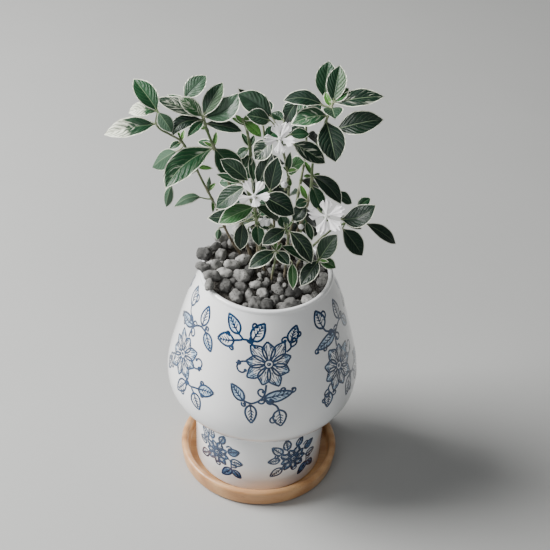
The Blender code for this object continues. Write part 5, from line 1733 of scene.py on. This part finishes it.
def bed_mesh():
    """The grit under the stones, whose dark colour is partly painted shade between them: rings out to the wall, then
    down the side and closed below.
    """
    rings, steps = 26, 96
    edge = inner_radius(POT_TOP - POT_WALL) - 1.7 * MM
    bm = bmesh.new()
    rows = []
    for i in range(rings + 1):
        reach = edge * i / rings
        row = []
        for k in range(steps):
            x, y = reach * cos(2 * pi * k / steps), reach * sin(2 * pi * k / steps)
            grit = noise.fractal(Vector((x, y, 0)) / (1.1 * MM), 1.0, 2.0, 3) * 0.35 * MM if i < rings else 0.0
            row.append(bm.verts.new((x, y, mound(x, y) - GRIT_DEPTH + grit)))
        rows.append(row)
    bottom = [bm.verts.new((inner_radius(SOIL_TOP + GAP) * 0.985 * cos(2 * pi * k / steps),
                            inner_radius(SOIL_TOP + GAP) * 0.985 * sin(2 * pi * k / steps), SOIL_TOP + GAP))
              for k in range(steps)]
    rows.append(bottom)
    for inner, outer in zip(rows, rows[1:]):
        for k in range(steps):
            bm.faces.new((inner[k], outer[k], outer[(k + 1) % steps], inner[(k + 1) % steps]))
    bm.faces.new(list(reversed(bottom)))
    bmesh.ops.remove_doubles(bm, verts=bm.verts, dist=0.0005 * MM)
    bmesh.ops.recalc_face_normals(bm, faces=bm.faces)
    mesh = bpy.data.meshes.new("grit")
    bm.to_mesh(mesh)
    bm.free()
    return mesh


# %% Stone and soil finishes
def pumice_finish():
    rock = Finish("pumice", IOR=1.35)
    tone = rock.attribute("tone")
    place = rock.place()
    cloud = rock.noise(place, 260, 4.0, 0.65)
    holes = rock.node("ShaderNodeTexVoronoi", {}, {"Vector": place, "Scale": 1900.0})
    fine = rock.node("ShaderNodeTexVoronoi", {}, {"Vector": place, "Scale": 3900.0})
    wide = rock.node("ShaderNodeTexVoronoi", {}, {"Vector": place, "Scale": 760.0})
    colour = rock.ramp(tone * 0.55 + cloud * 0.55, [(0.25, (0.04, 0.04, 0.039)), (0.48, (0.10, 0.099, 0.096)),
                                                   (0.66, (0.20, 0.198, 0.19)), (0.88, (0.42, 0.415, 0.40))])
    # Pits and fine pores are darkened: painted shade in the holes
    pit = (1 - holes.smooth(0.12, 0.36)) * rock.noise(place, 700, 1.0).smooth(0.4, 0.6)
    pit = pit.calc("MAXIMUM", (1 - wide.smooth(0.14, 0.26)) * rock.noise(place, 330, 1.0).smooth(0.45, 0.55))
    colour = rock.mix(pit * 0.8, colour, (0.03, 0.029, 0.027))
    colour = rock.mix((1 - fine.smooth(0.1, 0.3)) * 0.35, colour, (0.07, 0.068, 0.065))
    rock.set("Base Color", colour)
    rock.set("Roughness", 0.85 + cloud * 0.12)
    rock.bump(cloud * 0.6 - pit - (1 - fine.smooth(0.1, 0.3)) * 0.4, 0.9, 0.0004)
    return rock.material


def soil_finish(name, dark, light, scale):
    soil = Finish(name, IOR=1.3)
    crumbs = soil.node("ShaderNodeTexVoronoi", {}, {"Vector": soil.place(), "Scale": scale})
    cloud = soil.noise(soil.place(), scale * 0.4, 4.0)
    soil.set("Base Color", soil.mix((crumbs + cloud * 0.5).smooth(0.3, 0.95), dark, light))
    soil.set("Roughness", 0.9 + cloud * 0.08)
    soil.bump(0 - crumbs + cloud, 1.0, 0.0006)
    return soil.material


def make_gravel():
    axes = [(point, radius) for stem in STEMS for point, radius in zip(*stem_axis(stem)) if point.z < STEM_FEET_TOP]
    big = stone_places(axes)
    big += rim_places(big)
    small = small_places(axes, big)
    print(len(big), "stones and", len(small), "small ones")
    recipe = stone_recipe()
    pumice = pumice_finish()
    grit = bed_mesh()
    # The grit's dark colour is partly its own and partly painted shade in the gaps between the stones
    grit.materials.append(soil_finish("grit", (0.022, 0.019, 0.017), (0.10, 0.094, 0.085), 1100.0))
    pieces = [new_object("grit", grit), recipe.grow("big", stone_bed(big, (0.66, 0.9), 5), Finish=pumice, Detail=4),
              recipe.grow("small", stone_bed(small, (0.7, 0.98), 7), Finish=pumice, Detail=4)]
    gravel = join("loose_gravel", pieces)
    smooth(gravel, 50)
    hand_over(gravel, "pumice", "pumice_gravel")


make_gravel()
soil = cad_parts["potting_soil"]
soil.data.materials.clear()
soil.data.materials.append(soil_finish("potting_soil", (0.018, 0.011, 0.007), (0.085, 0.055, 0.035), 520.0))

# %% [markdown]
# ## Stage and light
# The plant stands on a plain pale floor. A large soft lamp at the upper left rear gives the bright left side
# and a soft shadow to the lower right; a weak one in front keeps the leaves readable.

# %% Stage and light
def make_floor():
    mesh = bpy.data.meshes.new("floor")
    reach = 1.5
    mesh.from_pydata([(-reach, -reach, 0), (reach, -reach, 0), (reach, reach, 0), (-reach, reach, 0)], [], [(0, 1, 2, 3)])
    ground = Finish("floor", Roughness=0.7)
    haze = ground.noise(ground.place(), 9, 3.0)
    ground.set("Base Color", ground.mix(haze, (0.38, 0.385, 0.38), (0.415, 0.42, 0.415)))
    mesh.materials.append(ground.material)
    floor = new_object("floor", mesh)


def lamp(name, place, aim, size, power, colour=(1, 1, 1)):
    light = bpy.data.lights.new(name, "AREA")
    light.shape = "SQUARE"
    light.size = size
    light.energy = power
    light.color = colour
    obj = bpy.data.objects.new(name, light)
    obj.location = place
    obj.rotation_euler = (Vector(aim) - Vector(place)).to_track_quat("-Z", "Y").to_euler()
    bpy.context.scene.collection.objects.link(obj)


make_floor()
lamp("window", (-0.86, 0.08, 0.78), (0, 0, 0.12), 0.6, 36.0, (1.0, 0.99, 0.97))
lamp("front", (-0.25, -0.95, 0.95), (0, 0, 0.12), 0.9, 4.6, (1.0, 0.995, 0.98))
world = bpy.data.worlds.new("studio")
world.use_nodes = True
world.node_tree.nodes["Background"].inputs["Color"].default_value = (0.86, 0.88, 0.89, 1)
world.node_tree.nodes["Background"].inputs["Strength"].default_value = 0.17
bpy.context.scene.world = world
